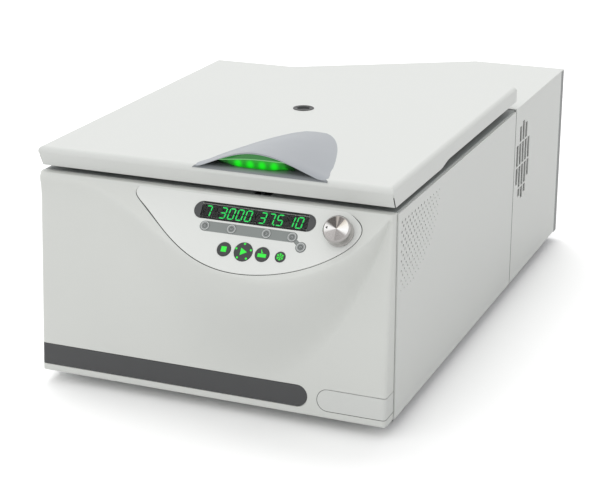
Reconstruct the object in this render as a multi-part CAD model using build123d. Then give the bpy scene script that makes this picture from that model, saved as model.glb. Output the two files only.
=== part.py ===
from build123d import *
import math
import os

os.makedirs("parts", exist_ok=True)

# A refrigerated bench centrifuge for butterfat tests. Millimetres, +Z up, the front faces -Y.
# The model is laid out with Y = 0 at the lid's front edge, and is saved with its footprint centred.

# Casing
sheet = 1.5                     # painted steel sheet
case_width = 404.0
foot_height = 14.0
foot_radius = 18.0
foot_inset = 42.0
panel_height = 222.4            # side panels, bottom edge to top edge
panel_flange = 12.0
front_seam = 14.6               # where the front cover meets the side panels
seam_setback = 4.5              # middle of the seam between the casings ahead of the lid's rear edge
seam_gap = 1.8
base_sheet = 2.0
front_lip = 26.0

# Front cover and its sloping control pod
cover_wall = 3.0
cover_side_gap = 1.5            # cover's side inside the case's side
cover_setback = 5.3             # top edge of the cover behind the lid's front edge
cover_lean = 15.9               # how far the cover's foot stands forward of its top edge
cover_corner = 4.0
panel_tilt = 38.0               # the control panel leans back by this angle
pod_wall = 4.0
crease_depth = 87.0             # furthest reach of the pod's crease down the sloping panel
crease_centre = 65.0
crease_left = 220.0
crease_margin = 2.5             # the crease and belly run out this far inside the cover's right side
belly_drop = 196.0              # furthest reach of the pod's belly down the cover
belly_centre = 35.0
belly_left = 270.0
pod_left_margin = 22.5
pod_right_margin = 5.5
hollow_least = 26.0             # the pod is hollow where its crease reaches at least this far

# Control panel, with places across it from the controls' own middle line
controls_inset = 202.0          # that line inside the case's right side
keypad_thickness = 1.2
keypad_gap = 0.9
keypad_left = -79.0
keypad_right = 163.0
keypad_top = 2.6
keypad_shoulder = 14.4          # its straight top ends this far inside its right side
keypad_reach = 81.0             # deepest point of the keypad's curve down the panel
window_centre = 55.4
window_down = 19.4
window_length = 134.0
window_height = 18.6
window_thickness = 1.6
digits_inset = 18.0
button_down = 58.5
button_proud = 0.6
button_travel = 0.8
button_thickness = 2.4
button_gap = 0.3
stem_radius = 2.5
stem_gap = 0.4
stem_length = 4.9               # below a pressed button's cap
contact_radius = 3.2
stop_x = 32.2
stop_radius = 7.5
start_x = 53.6
start_radius = 10.0
open_x = 74.4
open_radius = 7.7
cool_x = 94.0
cool_radius = 5.5
key_radius = 4.7
key_travel = 0.5
key_down = 36.4
program_x = 5.1
speed_x = 34.7
time_x = 73.2
heat_x = 101.2
mode_x = 112.8
mode_down = 45.7
knob_x = 150.0
knob_down = 25.8
knob_radius = 14.6
knob_length = 13.4
knob_bevel = 1.6
knob_lift = 0.6
knob_bore_depth = 9.0
spindle_radius = 3.0
running_fit = 0.05
encoder_radius = 9.0
board_depth = 14.5              # face of the control board behind the panel
board_thickness = 1.6
board_left = -4.0
board_right = 122.0
board_top = 12.0
board_bottom = 62.5

# Band and corner trim near the foot of the front cover
trim_thickness = 1.2
trim_gap = 0.6
trim_height = 23.0
trim_low = 8.0                  # above the cover's foot
band_end = 114.0
corner_trim_start = 125.5

# Lid
lid_width = 400.0
lid_gap = 5.6                   # deck to the front flange
front_flange = 22.5
rear_flange = 18.3
flange_slope = 11.5             # the front flange leans in by this much
flange_step_start = 155.0
flange_step_end = 187.0
lid_round = 5.0
mitre_gap = 1.1                 # open seam at each front corner of the lid's folded skin
mitre_depth = 1.0
inner_margin = 6.0
port_radius = 12.2
port_tube_radius = 9.0
port_glass = 3.0
port_wall = 1.5
port_cover = 2.0
port_rim = 0.8
hinge_x = 130.0
hinge_setback = 12.0            # hinge axis ahead of the lid's rear edge
hinge_drop = 12.0               # hinge axis below the lid's top
bracket_thickness = 6.0
bracket_play = 0.5
lug_radius = 8.0
lug_clearance = 0.8
pin_radius = 4.0
ear_thickness = 4.0
ear_gap = 0.4
pin_overhang = 1.0
hinge_pocket = 34.0
bracket_drop = 60.0             # foot of the hinge brackets below the deck's underside
bracket_wing = 12.0
bracket_wing_depth = 4.0
wing_drop = 6.0

# Lid handle with its signal lamp
handle_x = 52.5                 # ridge of the canopy; the lock stands on the same line
handle_rise = 20.4
handle_left = 70.5
handle_right = 78.5
handle_length = 170.0
handle_front = 2.0
handle_toe = 8.0                # the canopy's tips reach down the lid's rounded edge over this depth
handle_wall = 1.5
handle_root = 2.4               # how far its foot follows the lid's rounded edge
handle_floor = 0.8              # skin under the canopy that follows the lid's edge
canopy_swell = 1.3              # exponent of the canopy's bell-shaped sections
lens_x = 48.5
lens_half_width = 40.5
lens_ridge = 3.0                # ridge of the lens behind the lid's front edge
lens_foot = 12.0
lens_back = 19.0
lens_fall = 5.0                 # ridge below the arch at the lens's middle
lens_gap = 0.4
handle_depth = 12.0             # its sections run this far under the lid's top before they are cut
led_count = 4
led_pitch = 13.2
led_centre = 52.0
led_size = 5.0
led_stand = 2.7
led_board_tall = 9.5
led_board_gap = 4.0
led_board_thickness = 1.6

# Lid lock
striker_thickness = 4.0
striker_width = 12.0
striker_drop = 26.0
striker_foot = 6.0
striker_play = 0.8
striker_setback = 22.0
bolt_radius = 4.0
bolt_travel = 16.0
bolt_length = 26.0
bolt_drop = 16.0                # bolt axis below the deck's underside
lock_wall = 3.0
lock_clearance = 4.0

# Rotor chamber
front_room = 71.8               # guard ring behind the lid's front edge
guard_room = 2.8                # guard ring to the side panels' folded edges and to the bulkhead
chamber_depth = 127.0
bowl_wall = 1.2
bowl_round = 18.0
bowl_rim = 8.0
throat_radius = 24.0
gasket_width = 7.0
gasket_clearance = 0.3
coil_tube = 3.5                 # half the flattened tube's thickness
coil_width = 7.6
coil_bevel = 1.6
coil_turns = 9
coil_gap = 0.3
foam_thickness = 17.0
foam_floor = 22.0
guard_thickness = 3.0
guard_gap = 0.4

# Drive
motor_radius = 70.0
motor_height = 54.0
motor_plate_thickness = 5.0
motor_plate_radius = 108.0
damper_radius = 15.0
damper_height = 24.0
damper_circle = 88.0
damper_count = 3
nose_radius = 19.0
shaft_radius = 8.0
boot_thickness = 3.0

# Swing-out rotor
yoke_radius = 106.0
yoke_thickness = 16.0
yoke_height = 75.0              # trunnion axis above the chamber floor
hub_radius = 26.0
hub_depth = 22.0
window_start = 42.0
window_half = 30.0
trunnion_circle = 74.0
trunnion_radius = 4.0
bucket_half = 28.0
bucket_radial = 26.0
bucket_wall = 4.0
bucket_skin = 1.4               # left between a trunnion's tip and the cup
bucket_swing_gap = 14.0         # swung-out bucket to the chamber's wall
bucket_above = 14.0
bucket_round = 6.0
bucket_count = 4
nut_radius = 18.0
nut_height = 20.0
nut_flute = 4.0
nut_flutes = 8
shaft_above = 6.0               # shaft's end above the yoke
press_fit = 0.02

# Rear casing with the cooling unit
hood_length = 233.0             # rear casing behind the seam
hood_rise = 1.1                 # rear casing's top above the deck
cut_margin = 122.0              # straight stretch of the rear wall, from the right side to the cut
cut_depth = 164.0
rear_return = 11.0
rear_drop = 1.5
grille_y = 38.5                 # side grille behind the seam
grille_down = 72.5              # side grille below the top of the casing
grille_half_width = 30.0
grille_half_height = 50.0
grille_columns = 5
slot_width = 8.4
slot_pitch = 12.6
row_pitch = 29.2
row_drop = 4.9                  # the grille's rows sit below its middle by this much
grille_rib = 2.0
rib_width = 4.0
vent_pitch = 10.0
vent_rise = 5.2
vent_reach = 122.0
vent_fall = 78.0
vent_radius = 1.75
vent_margin = 12.0
fan_radius = 68.0
fan_frame_half = 76.0
fan_frame_depth = 36.0
fan_tip_gap = 3.0
fan_hub_radius = 24.0
fan_blades = 7
fan_blade_width = 18.0
fan_blade_thickness = 2.4
fan_blade_angle = 52.0
fan_spindle = 3.0
fan_motor_depth = 10.0
fan_height = 118.0
fan_slot_pitch = 11.0
fan_slot_width = 6.5
condenser_margin = 68.6         # its ends inside the ends of the slanting wall
condenser_height = 164.0
condenser_depth = 38.0
condenser_fins = 24
condenser_tubes = 4
condenser_tube = 4.5
condenser_bend = 8.0            # tube ends beyond the end plates
end_plate = 2.0
fin_thickness = 1.0
fin_inset = 6.0
compressor_radius = 62.0
compressor_height = 140.0
compressor_margin = 74.0        # its axis inside the right side
compressor_y = 112.0            # behind the seam
compressor_lift = 14.0
compressor_crown = 30.0
compressor_neck = 24.0
terminal_height = 70.0          # its middle above the compressor's foot
foot_plate_half = 56.0
grommet_radius = 8.0
grommet_x = 52.0
grommet_y = 46.0
line_radius = 3.2
hot_bend = 12.0
hot_rise = 16.0                 # hot line above the compressor
hot_drop = 20.0                 # its last run down to the condenser
hot_reach = 54.0
hot_port = 22.0                 # stub left of the compressor's axis
cold_port = 8.0
cold_port_back = 18.0
cold_bend = 10.0
cold_rise = 18.0
cold_setback = 18.0             # cold line behind the seam
pass_x = 60.0                   # where the cold line goes through the bulkhead
pass_height = 40.0
pass_radius = 8.0
line_end_gap = 2.0              # cold line's end to the guard ring
controller_width = 78.0
controller_height = 130.0
controller_inset = 12.0
controller_lift = 40.0
controller_plate = 6.0
controller_fin = 3.0
controller_fin_depth = 14.0
controller_fins = 10
inlet_margin = 56.0             # its middle inside the right side
inlet_height = 52.0
inlet_width = 48.0
inlet_tall = 30.0
inlet_flange = 2.6
pin_recess = 6.0                # tips of the contact pins behind the flange's face
pin_pitch = 7.0
pin_width = 2.0
pin_tall = 4.0
socket_width = 24.4
socket_tall = 16.4
socket_depth = 17.0
switch_height = 98.0
switch_width = 22.0
switch_tall = 30.0
switch_depth = 16.0
rocker_pin = 1.2
rocker_angle = 8.0
screw_radius = 3.4
screw_head = 1.8

# Places that follow from the sizes
half_case = case_width / 2
cover_width = case_width - 2 * cover_side_gap
controls_x = half_case - controls_inset
crease_right = cover_width / 2 - crease_margin - controls_x - crease_centre
belly_right = cover_width / 2 - crease_margin - controls_x - belly_centre
pod_left = pod_left_margin - cover_width / 2
pod_right = cover_width / 2 - pod_right_margin
jacket = 2 * coil_gap + 2 * coil_tube + foam_thickness
guard_radius = half_case - panel_flange - guard_room
chamber_radius = guard_radius - guard_thickness - guard_gap - jacket - bowl_wall
axis_setback = front_room + guard_radius
bulkhead_y = axis_setback + guard_radius + guard_room
hinge_y = bulkhead_y - lug_radius
lid_depth = hinge_y + hinge_setback
rear_seam = lid_depth - seam_setback
compressor_x = half_case - compressor_margin
inlet_x = half_case - inlet_margin
cut_x = half_case - cut_margin
cut_length = math.hypot(cut_x + half_case, cut_depth)
condenser_half = cut_length / 2 - condenser_margin
bucket_below = chamber_radius - trunnion_circle - bucket_swing_gap
base_z = foot_height
panel_top = base_z + panel_height
deck_top = panel_top + sheet
flange_z = deck_top + lid_gap
lid_top = flange_z + front_flange
inner_face = flange_z + 0.6     # underside of the lid's inner pan
tilt_sin = math.sin(math.radians(panel_tilt))
tilt_cos = math.cos(math.radians(panel_tilt))
pod_reach = crease_depth * tilt_sin - cover_setback
hood_start = rear_seam + seam_gap / 2
hood_end = hood_start + hood_length
hood_top = deck_top + hood_rise
rear_face = hood_end + sheet
footprint_middle = (rear_face + inlet_flange - pod_reach) / 2
hinge_z = lid_top - hinge_drop
bowl_floor = deck_top - chamber_depth
trunnion_z = bowl_floor + yoke_height
panel = Location(Plane((controls_x, cover_setback, deck_top), x_dir=(1, 0, 0), z_dir=(0, -tilt_cos, tilt_sin)))
axis = Pos(0, axis_setback, 0)


def block(x, y, z):
    """A box between two limits along each axis."""
    middle = Pos((x[0] + x[1]) / 2, (y[0] + y[1]) / 2, (z[0] + z[1]) / 2)
    return middle * Box(x[1] - x[0], y[1] - y[0], z[1] - z[0])


def rod(radius, z):
    """A vertical cylinder between two heights."""
    return Pos(0, 0, z[0]) * Cylinder(radius, z[1] - z[0], align=(Align.CENTER, Align.CENTER, Align.MIN))


def cross_rod(radius, x):
    """A cylinder along X between two limits."""
    return Rot(0, 90, 0) * rod(radius, x)


def on_panel(x, down, out=0.0):
    """A place on the control panel: across, down its slope, and out from its face."""
    return panel * Pos(x, -down, out)


def save(name, shape):
    """Write one piece, with the footprint's middle moved to the origin."""
    export_step(Pos(0, -footprint_middle, 0) * shape, "parts/" + name + ".step")


def joined(pieces):
    """Fuse a list of solids."""
    whole = pieces[0]
    for piece in pieces[1:]:
        whole = whole + piece
    return whole


def group(pieces):
    """Keep a list of solids apart, in one node."""
    solids = []
    for piece in pieces:
        solids = solids + list(piece.solids())
    return Compound(children=solids)


# ---------------------------------------------------------------- base, feet and side panels
def plan_outline(inset):
    """The casing's plan, with its cut rear-left corner, drawn in by a distance."""
    half = half_case - inset
    left_end = hood_end - cut_depth - inset
    corners = [(-half, front_seam), (half, front_seam), (half, hood_end), (cut_x, hood_end),
               (-half, left_end)]
    return make_face(Polyline(*corners, close=True))


def make_base_plate():
    floor = Pos(0, 0, base_z) * extrude(plan_outline(sheet), amount=base_sheet)
    half = half_case - panel_flange - 0.5
    lip = block((-half, half), (front_seam, front_seam + base_sheet),
                (base_z, base_z + front_lip))
    return floor + lip


def foot_places():
    front = front_seam + foot_inset
    side = half_case - foot_inset
    left_rear = hood_end - cut_depth - foot_inset
    return [(-side, front), (side, front), (side, hood_end - foot_inset), (-side, left_rear)]


def make_feet():
    feet = []
    for x, y in foot_places():
        pad = Pos(x, y, 0) * rod(foot_radius, (0, base_z))
        feet.append(chamfer(pad.edges().group_by(Axis.Z)[0], 2.0))
    return group(feet)


def vent_circles():
    """Round vent holes in staggered rows, smaller towards the edge of a quarter oval."""
    circles = []
    row = 0
    top = panel_top - vent_margin
    start = front_seam + vent_margin
    while row * vent_rise < vent_fall:
        column = 0
        while column * vent_pitch < vent_reach:
            y = start + (column + 0.5 * (row % 2)) * vent_pitch
            z = top - row * vent_rise
            spread = math.hypot((y - start) / vent_reach, (top - z) / vent_fall)
            if spread < 1.0:
                circles.append((y, z, vent_radius * (1.0 - 0.55 * spread ** 2)))
            column = column + 1
        row = row + 1
    return circles


def make_side_panel(side, vented):
    """A folded panel whose top, front and rear edges turn inwards."""
    y = (front_seam + seam_gap / 2, rear_seam - seam_gap / 2)
    fold = block((half_case - panel_flange, half_case), y, (base_z, panel_top))
    hollow = block((0, half_case - sheet), (y[0] + sheet, y[1] - sheet), (0, panel_top - sheet))
    notch = block((0, half_case - sheet), y, (0, base_z + base_sheet))
    shell = fold - hollow - notch
    if vented:
        face = Pos(half_case - sheet, 0, 0) * Plane.YZ.location
        middle = Pos((y[0] + y[1]) / 2, (base_z + sheet + panel_top) / 2 - sheet, 0)
        plate = middle * Rectangle(y[1] - y[0] - 2 * sheet, panel_top - base_z - sheet)
        holes = [Wire(Edge.make_circle(r, Plane(origin=(u, v, 0)))) for u, v, r in vent_circles()]
        drilled = Face(plate.faces()[0].outer_wire(), holes)
        shell = shell - block((half_case - sheet, half_case), (y[0] + sheet, y[1] - sheet),
                              (base_z, panel_top - sheet))
        shell = shell + face * extrude(drilled, amount=sheet)
    if side < 0:
        shell = mirror(shell, about=Plane.YZ)
    return shell


# ---------------------------------------------------------------- front cover and pod
def crease(x):
    """Reach of the pod's crease down the sloping panel."""
    x = x - controls_x
    if x < crease_centre:
        u = (crease_centre - x) / crease_left
        return crease_depth * (0.08 + 0.92 * max(1.0 - u ** 2, 0.0) ** 1.9)
    u = (x - crease_centre) / crease_right
    return crease_depth * max(1.0 - u ** 2.2, 0.0) ** 0.75


def belly(x):
    """Reach of the pod's belly down the cover."""
    x = x - controls_x
    if x < belly_centre:
        return belly_drop * (1.0 - ((belly_centre - x) / belly_left) ** 2)
    u = (x - belly_centre) / belly_right
    return belly_drop * max(1.0 - u ** 2.5, 0.0) ** 0.9


def cover_y(z):
    """The cover's front plane, which leans forward towards its foot."""
    return cover_setback - cover_lean * (deck_top - z) / (deck_top - base_z)


def pod_section(x):
    """One upright section of the pod: panel, belly and a straight back."""
    low = deck_top - max(belly(x), crease(x) * tilt_cos + 6.0)
    nose = Vector(x, cover_setback - crease(x) * tilt_sin, deck_top - crease(x) * tilt_cos)
    top = Vector(x, cover_setback, deck_top)
    foot = Vector(x, cover_y(low), low)
    back_foot = Vector(x, front_seam, low)
    back_top = Vector(x, front_seam, deck_top)
    under = Spline([nose, foot], tangents=[Vector(0, 0.25, -1), Vector(0, -0.1, -1)])
    outline = [Line(top, nose), under, Line(foot, back_foot), Line(back_foot, back_top), Line(back_top, top)]
    return make_face(outline)


def panel_y(down, under):
    """Depth of a place down the sloping panel and under its face."""
    return cover_setback - down * tilt_sin + under * tilt_cos


def panel_z(down, under):
    return deck_top - down * tilt_cos - under * tilt_sin


def pod_hollow_section(x):
    """One section of the space inside the pod, open at the back."""
    inner_low = max(crease(x) - 9.0, 14.0)
    start = cover_wall + 3.0
    low = deck_top - (inner_low * tilt_cos + 22.0)
    back = front_seam + 6.0
    upper = (panel_y(start, pod_wall), panel_z(start, pod_wall))
    lower = (panel_y(inner_low, pod_wall), panel_z(inner_low, pod_wall))
    knee = (cover_y(low) + cover_wall * 0.5 - 0.25 * inner_low * tilt_sin, low)
    corners = [upper, lower, knee, (back, low - 6.0), (back, upper[1])]
    return make_face(Polyline(*[(x, y, z) for y, z in corners], close=True))


def keypad_outline(grow):
    """The keypad's outline on the panel: a straight top and one deep curve."""
    span = keypad_right - keypad_left
    left = Vector(keypad_left - grow, grow - keypad_top)
    right = Vector(keypad_right - keypad_shoulder, grow - keypad_top)
    curve = [left]
    for along, down in ((-0.011, 0.085), (0.035, 0.257), (0.145, 0.53), (0.318, 0.868), (0.477, 1.0),
                        (0.613, 0.9975), (0.814, 0.847), (0.967, 0.58), (1.022, 0.4), (1.034, 0.246),
                        (1.023, 0.177), (1.0, 0.112), (0.971, 0.055)):
        place = Vector(keypad_left + along * span, -down * keypad_reach)
        outward = Vector(place.X - (left.X + right.X) / 2, place.Y + keypad_top).normalized()
        curve.append(place + outward * grow)
    curve.append(right)
    return make_face([Line(right, left), Spline(curve)])


def cover_blank(inset):
    """The cover's outer form, drawn in by a distance on its visible sides."""
    half = cover_width / 2 - inset
    front_top = cover_y(deck_top) + inset
    front_low = cover_y(base_z) + inset
    corners = [(front_top, deck_top), (front_low, base_z), (front_seam, base_z), (front_seam, deck_top)]
    profile = make_face(Polyline(*[(0, y, z) for y, z in corners], close=True))
    solid = Pos(-half, 0, 0) * extrude(profile, amount=2 * half, dir=(1, 0, 0))
    uprights = solid.edges().filter_by(lambda e: abs(e.tangent_at(0.5).Z) > 0.9).group_by(Axis.Y)[0]
    solid = fillet(uprights, max(cover_corner - inset, 0.6))
    return solid


def round_ended(start, end, low, high):
    """A tall region of the cover's front, whose end towards the middle is round."""
    radius = (high - low) / 2
    middle = (high + low) / 2
    depth = (cover_setback - cover_lean - 8, front_seam + 8)
    if end > start:
        body = block((start, end - radius), depth, (low, high))
        tip = Pos(end - radius, 0, middle) * Rot(-90, 0, 0) * rod(radius, depth)
    else:
        body = block((end + radius, start), depth, (low, high))
        tip = Pos(end + radius, 0, middle) * Rot(-90, 0, 0) * rod(radius, depth)
    return body + tip


def trim_region(start, end, grow):
    low = base_z + trim_low - grow
    return round_ended(start, end + math.copysign(grow, end - start), low, low + trim_height + 2 * grow)


def make_trim(start, end):
    """A thin trim let into the cover, which turns round its corner to the seam."""
    skin = cover_blank(0.0) - cover_blank(trim_thickness)
    return skin & trim_region(start, end, 0.0)


def make_trim_bed(start, end):
    skin = cover_blank(0.0) - cover_blank(trim_thickness)
    return skin & trim_region(start, end, trim_gap)


def pod_stations():
    """Places along the cover where the pod's sections stand."""
    places = []
    steps = 14
    for i in range(steps + 1):
        places.append(pod_left + (pod_right - pod_left) * i / steps)
    return places


def make_pod():
    return loft([pod_section(x) for x in pod_stations()])


def panel_holes():
    """Beds and stem holes of the keypad, buttons, keys, window and knob."""
    deep = keypad_thickness + 0.3
    cuts = [on_panel(0, 0, -deep) * extrude(keypad_outline(keypad_gap), amount=deep + 30)]
    for x, down, radius, travel in control_places():
        bed = button_thickness + travel + 0.4
        cuts.append(on_panel(x, down) * rod(radius + button_gap, (-bed, 1)))
        cuts.append(on_panel(x, down) * rod(stem_radius + stem_gap, (-pod_wall - 6, 1)))
    cuts.append(on_panel(knob_x, knob_down) * rod(spindle_radius + 0.8, (-pod_wall - 6, 1)))
    pane = SlotOverall(window_length - 8, window_height - 5)
    cuts.append(on_panel(window_centre, window_down, -pod_wall - 6) * extrude(pane, amount=pod_wall + 8))
    return cuts


def control_places():
    """Every push button and selector key: across, down the panel, radius and travel."""
    buttons = [(stop_x, stop_radius), (start_x, start_radius), (open_x, open_radius), (cool_x, cool_radius)]
    keys = [(x, key_down) for x in (program_x, speed_x, time_x, heat_x)] + [(mode_x, mode_down)]
    places = [(x, button_down, radius, button_travel) for x, radius in buttons]
    return places + [(x, down, key_radius, key_travel) for x, down in keys]


def make_front_cover():
    """The moulded cover: a shallow tray whose upper half swells into the control pod."""
    whole = block((-cover_width / 2, cover_width / 2), (-pod_reach - 10, front_seam), (base_z, deck_top))
    tray = (cover_blank(0.0) + make_pod()) & whole
    half = cover_width / 2 - cover_wall
    low = base_z + cover_wall
    high = deck_top - cover_wall
    beyond = front_seam + 25.0
    lean = Polyline((0, cover_y(deck_top) + cover_wall, high), (0, cover_y(base_z) + cover_wall, low),
                    (0, beyond, low), (0, beyond, high), close=True)
    inner = block((-half, half), (cover_setback + cover_wall, beyond), (low, high))
    inner = inner + Pos(-half, 0, 0) * extrude(make_face(lean), amount=2 * half, dir=(1, 0, 0))
    stations = [x for x in pod_stations() if crease(x) > hollow_least]
    shell = tray - inner - loft([pod_hollow_section(x) for x in stations], ruled=True)
    for cut in panel_holes():
        shell = shell - cut
    shell = shell - make_trim_bed(-half_case, controls_x + band_end)
    shell = shell - make_trim_bed(half_case, controls_x + corner_trim_start)
    return shell


# ---------------------------------------------------------------- control panel pieces
def make_keypad():
    face = on_panel(0, 0, -keypad_thickness) * extrude(keypad_outline(0.0), amount=keypad_thickness)
    for x, down, radius, travel in control_places():
        face = face - on_panel(x, down) * rod(radius + button_gap, (-4, 1))
    face = face - on_panel(knob_x, knob_down) * rod(spindle_radius + 0.8, (-4, 1))
    pane = SlotOverall(window_length + 0.4, window_height + 0.4)
    return face - on_panel(window_centre, window_down, -4) * extrude(pane, amount=6)


def make_window():
    pane = SlotOverall(window_length, window_height)
    place = on_panel(window_centre, window_down, -keypad_thickness - 0.3)
    return place * extrude(pane, amount=window_thickness)


def make_board():
    """The control board, with its digit module, a contact under each button, and the knob's encoder."""
    thick = (-board_depth - board_thickness, -board_depth)
    plate = block((board_left, board_right), (-board_bottom, -board_top), thick)
    reach = encoder_radius + 3
    tab = block((board_right - 1, knob_x + reach), (-knob_down - reach, -board_top), thick)
    length = window_length - digits_inset
    tall = window_height - 7
    digits = Pos(window_centre, -window_down, 0) * block(
        (-length / 2, length / 2), (-tall / 2, tall / 2), (-board_depth, -keypad_thickness - 0.6))
    contacts = []
    for x, down, radius, travel in control_places():
        top = -button_thickness - button_travel - stem_length - 1.3
        contacts.append(Pos(x, -down, 0) * rod(contact_radius, (-board_depth, top)))
    body = rod(encoder_radius, (-board_depth, -pod_wall - 0.2))
    spindle = rod(spindle_radius, (-board_depth, knob_lift + knob_bore_depth - 0.4))
    encoder = Pos(knob_x, -knob_down, 0) * (body + spindle)
    return panel * joined([plate, tab, digits, encoder] + contacts)


def make_knob():
    body = rod(knob_radius, (knob_lift, knob_lift + knob_length))
    body = chamfer(body.edges().group_by(Axis.Z)[-1], knob_bevel)
    bore = rod(spindle_radius + running_fit, (0, knob_lift + knob_bore_depth))
    return on_panel(knob_x, knob_down) * (body - bore)


def make_button(x, down, radius, travel):
    cap = rod(radius, (button_proud - button_thickness, button_proud))
    cap = fillet(cap.edges().group_by(Axis.Z)[-1], 0.4)
    under = button_proud - button_thickness
    stem = rod(stem_radius, (-button_thickness - button_travel - stem_length, under))
    return on_panel(x, down) * (cap + stem)


# ---------------------------------------------------------------- lid
def lid_profile(inset, low):
    """The lid's side view, drawn in by a distance, down to a level below its flange."""
    step = front_flange - rear_flange
    slope = flange_slope / front_flange
    top = lid_top - inset
    front_low = flange_z - low
    rear_low = flange_z + step - low
    span = flange_step_end - flange_step_start
    rise = Spline([(0, flange_step_start, front_low), (0, flange_step_start + span / 2, front_low + step / 2),
                   (0, flange_step_end, rear_low)], tangents=[(0, 1, 0), (0, 1, 0)])
    start = (0, inset * 1.2 + inset * slope, top)
    foot = (0, inset * 1.2 + (top - front_low) * slope + inset * slope, front_low)
    rear = lid_depth - inset
    outline = [Line(start, foot), Line(foot, (0, flange_step_start, front_low)), rise,
               Line((0, flange_step_end, rear_low), (0, rear, rear_low)),
               Line((0, rear, rear_low), (0, rear, top)), Line((0, rear, top), start)]
    return make_face(outline)


def lid_form(inset, low):
    half = lid_width / 2 - inset
    solid = Pos(-half, 0, 0) * extrude(lid_profile(inset, low), amount=2 * half, dir=(1, 0, 0))
    rim = solid.edges().group_by(Axis.Z)[-1]
    return fillet(rim, lid_round - inset)


def hinge_pockets(z_low, z_high):
    """Room in the lid for the hinge brackets, open at the lid's rear edge."""
    start = hinge_y - lug_radius - 4.0
    pockets = []
    for side in (-1, 1):
        middle = side * hinge_x
        pockets.append(block((middle - hinge_pocket / 2, middle + hinge_pocket / 2), (start, lid_depth + 5),
                             (z_low, z_high)))
    return pockets


def make_lid_outer():
    shell = lid_form(0.0, 0.0) - lid_form(sheet, 5.0)
    for pocket in hinge_pockets(flange_z - 5, hinge_z + lug_radius + lug_clearance):
        shell = shell - pocket
    shell = shell - axis * rod(port_tube_radius + 0.2, (lid_top - 5, lid_top + 1))
    for side in (-1, 1):
        shell = shell - mitre_groove(side)
    return joined([shell] + hinge_ears())


def mitre_groove(side):
    """The open seam at a front corner, between the front flange and a side flange."""
    slope = flange_slope / front_flange
    bent = lid_round * 1.4
    start = Vector(side * lid_width / 2, bent * slope, lid_top - bent)
    end = Vector(side * lid_width / 2, (front_flange + 1) * slope, flange_z - 1)
    along = (end - start).normalized()
    across = Vector(-side, 1.0, 0.0).normalized()
    slit = Plane(origin=(start + end) * 0.5, x_dir=along, z_dir=along.cross(across)).location
    return slit * Box((end - start).length, 2 * mitre_depth, mitre_gap)


def inner_limits():
    half = lid_width / 2 - sheet - inner_margin
    front = flange_slope + sheet + inner_margin
    return half, front, lid_depth - lid_round - 1.0


def make_lid_inner():
    """The pan that closes the lid from below, with edges turned up to the outer skin."""
    half, front, rear = inner_limits()
    pan = block((-half, half), (front, rear), (inner_face, lid_top - sheet))
    inside = (front + sheet, rear - sheet)
    pan = pan - block((-half + sheet, half - sheet), inside, (inner_face + sheet, lid_top))
    for pocket in hinge_pockets(flange_z - 5, lid_top):
        pan = pan - pocket
    return pan - axis * rod(port_tube_radius + 0.2, (inner_face - 1, inner_face + 5))


def make_lid_foam():
    """Foam between the two skins of the lid."""
    half, front, rear = inner_limits()
    rear_end = hinge_y - lug_radius - 6.0
    slab = block((-half + 3, half - 3), (front + 3, rear_end), (inner_face + sheet, lid_top - sheet - 0.3))
    return slab - axis * rod(port_tube_radius + 1.0, (inner_face, lid_top))


def make_lid_port():
    """The sight port over the rotor's axis: a dark plug with a window at its foot."""
    cap = rod(port_radius, (lid_top, lid_top + port_rim))
    tube = rod(port_tube_radius, (inner_face, lid_top))
    tube = tube - rod(port_tube_radius - port_wall, (inner_face + port_glass, lid_top - port_cover))
    return axis * (cap + tube)


def bell(x):
    """Share of the canopy's full rise at a place across its mouth."""
    reach = handle_left if x < handle_x else handle_right
    return math.cos(math.pi / 2 * min(abs(x - handle_x) / reach, 1.0)) ** canopy_swell


def handle_section(share, wall):
    """One bell-shaped section of the handle, at a share of its length."""
    y = handle_front + share * handle_length
    narrowing = math.sqrt(1 - share)
    rise = handle_rise * (1 - share) - wall
    toe = -handle_root * max(1 - share * handle_length / handle_toe, 0.0) - wall * 0.4
    arc = []
    steps = 16
    for i in range(steps + 1):
        x = handle_x - handle_left + (handle_left + handle_right) * i / steps
        arc.append((handle_x + (x - handle_x) * narrowing, y, lid_top + toe + (rise - toe) * bell(x)))
    left = (arc[0][0], y, lid_top - handle_depth)
    right = (arc[-1][0], y, lid_top - handle_depth)
    return make_face([Spline(arc), Line(arc[-1], right), Line(right, left), Line(left, arc[0])])


def handle_form(wall):
    shares = [0.0, handle_toe / handle_length, 0.12, 0.26, 0.42, 0.58, 0.73, 0.85, 0.93, 0.975]
    return loft([handle_section(share, wall) for share in shares])


def make_handle():
    """The lid's grip: a hollow canopy, open at the front, that runs out on the lid's top."""
    mouth = Pos(0, -handle_front, 0) * handle_form(handle_wall)
    reach = (handle_x - handle_left, handle_x + handle_right)
    below = lid_top - 2 * handle_depth
    closed_end = block(reach, (handle_length * 0.8, lid_depth), (below, lid_top + handle_rise))
    skirt = block(reach, (0, lid_depth), (below, lid_top - handle_root))
    floor = lid_form(-handle_floor, 30.0)
    return handle_form(0.0) - (mouth - closed_end - floor) - lid_form(0.0, 30.0) - skirt


def lens_section(x):
    """One upright section of the lens: a sloping brow, a ridge and a face that falls back to its foot."""
    low = lid_top + handle_floor + lens_gap / 2
    fullness = 1.0 - ((x - lens_x) / (lens_half_width + 1.0)) ** 2
    arch = lid_top + (handle_rise - handle_wall) * bell(x) - handle_wall * 0.4
    high = max(arch - lens_gap, low + 2.0)
    ridge_z = max(high - lens_fall * fullness, low + 1.0)
    ridge_y = lens_ridge + (lens_foot - lens_ridge) * (1.0 - fullness) * 0.6
    foot_z = low + (ridge_z - low) * (1.0 - fullness) ** 2
    corners = [(x, ridge_y + 1.5, high), (x, ridge_y, ridge_z), (x, lens_foot, foot_z), (x, lens_back, low),
               (x, lens_back, high)]
    return make_face(Polyline(*corners, close=True))


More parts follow.
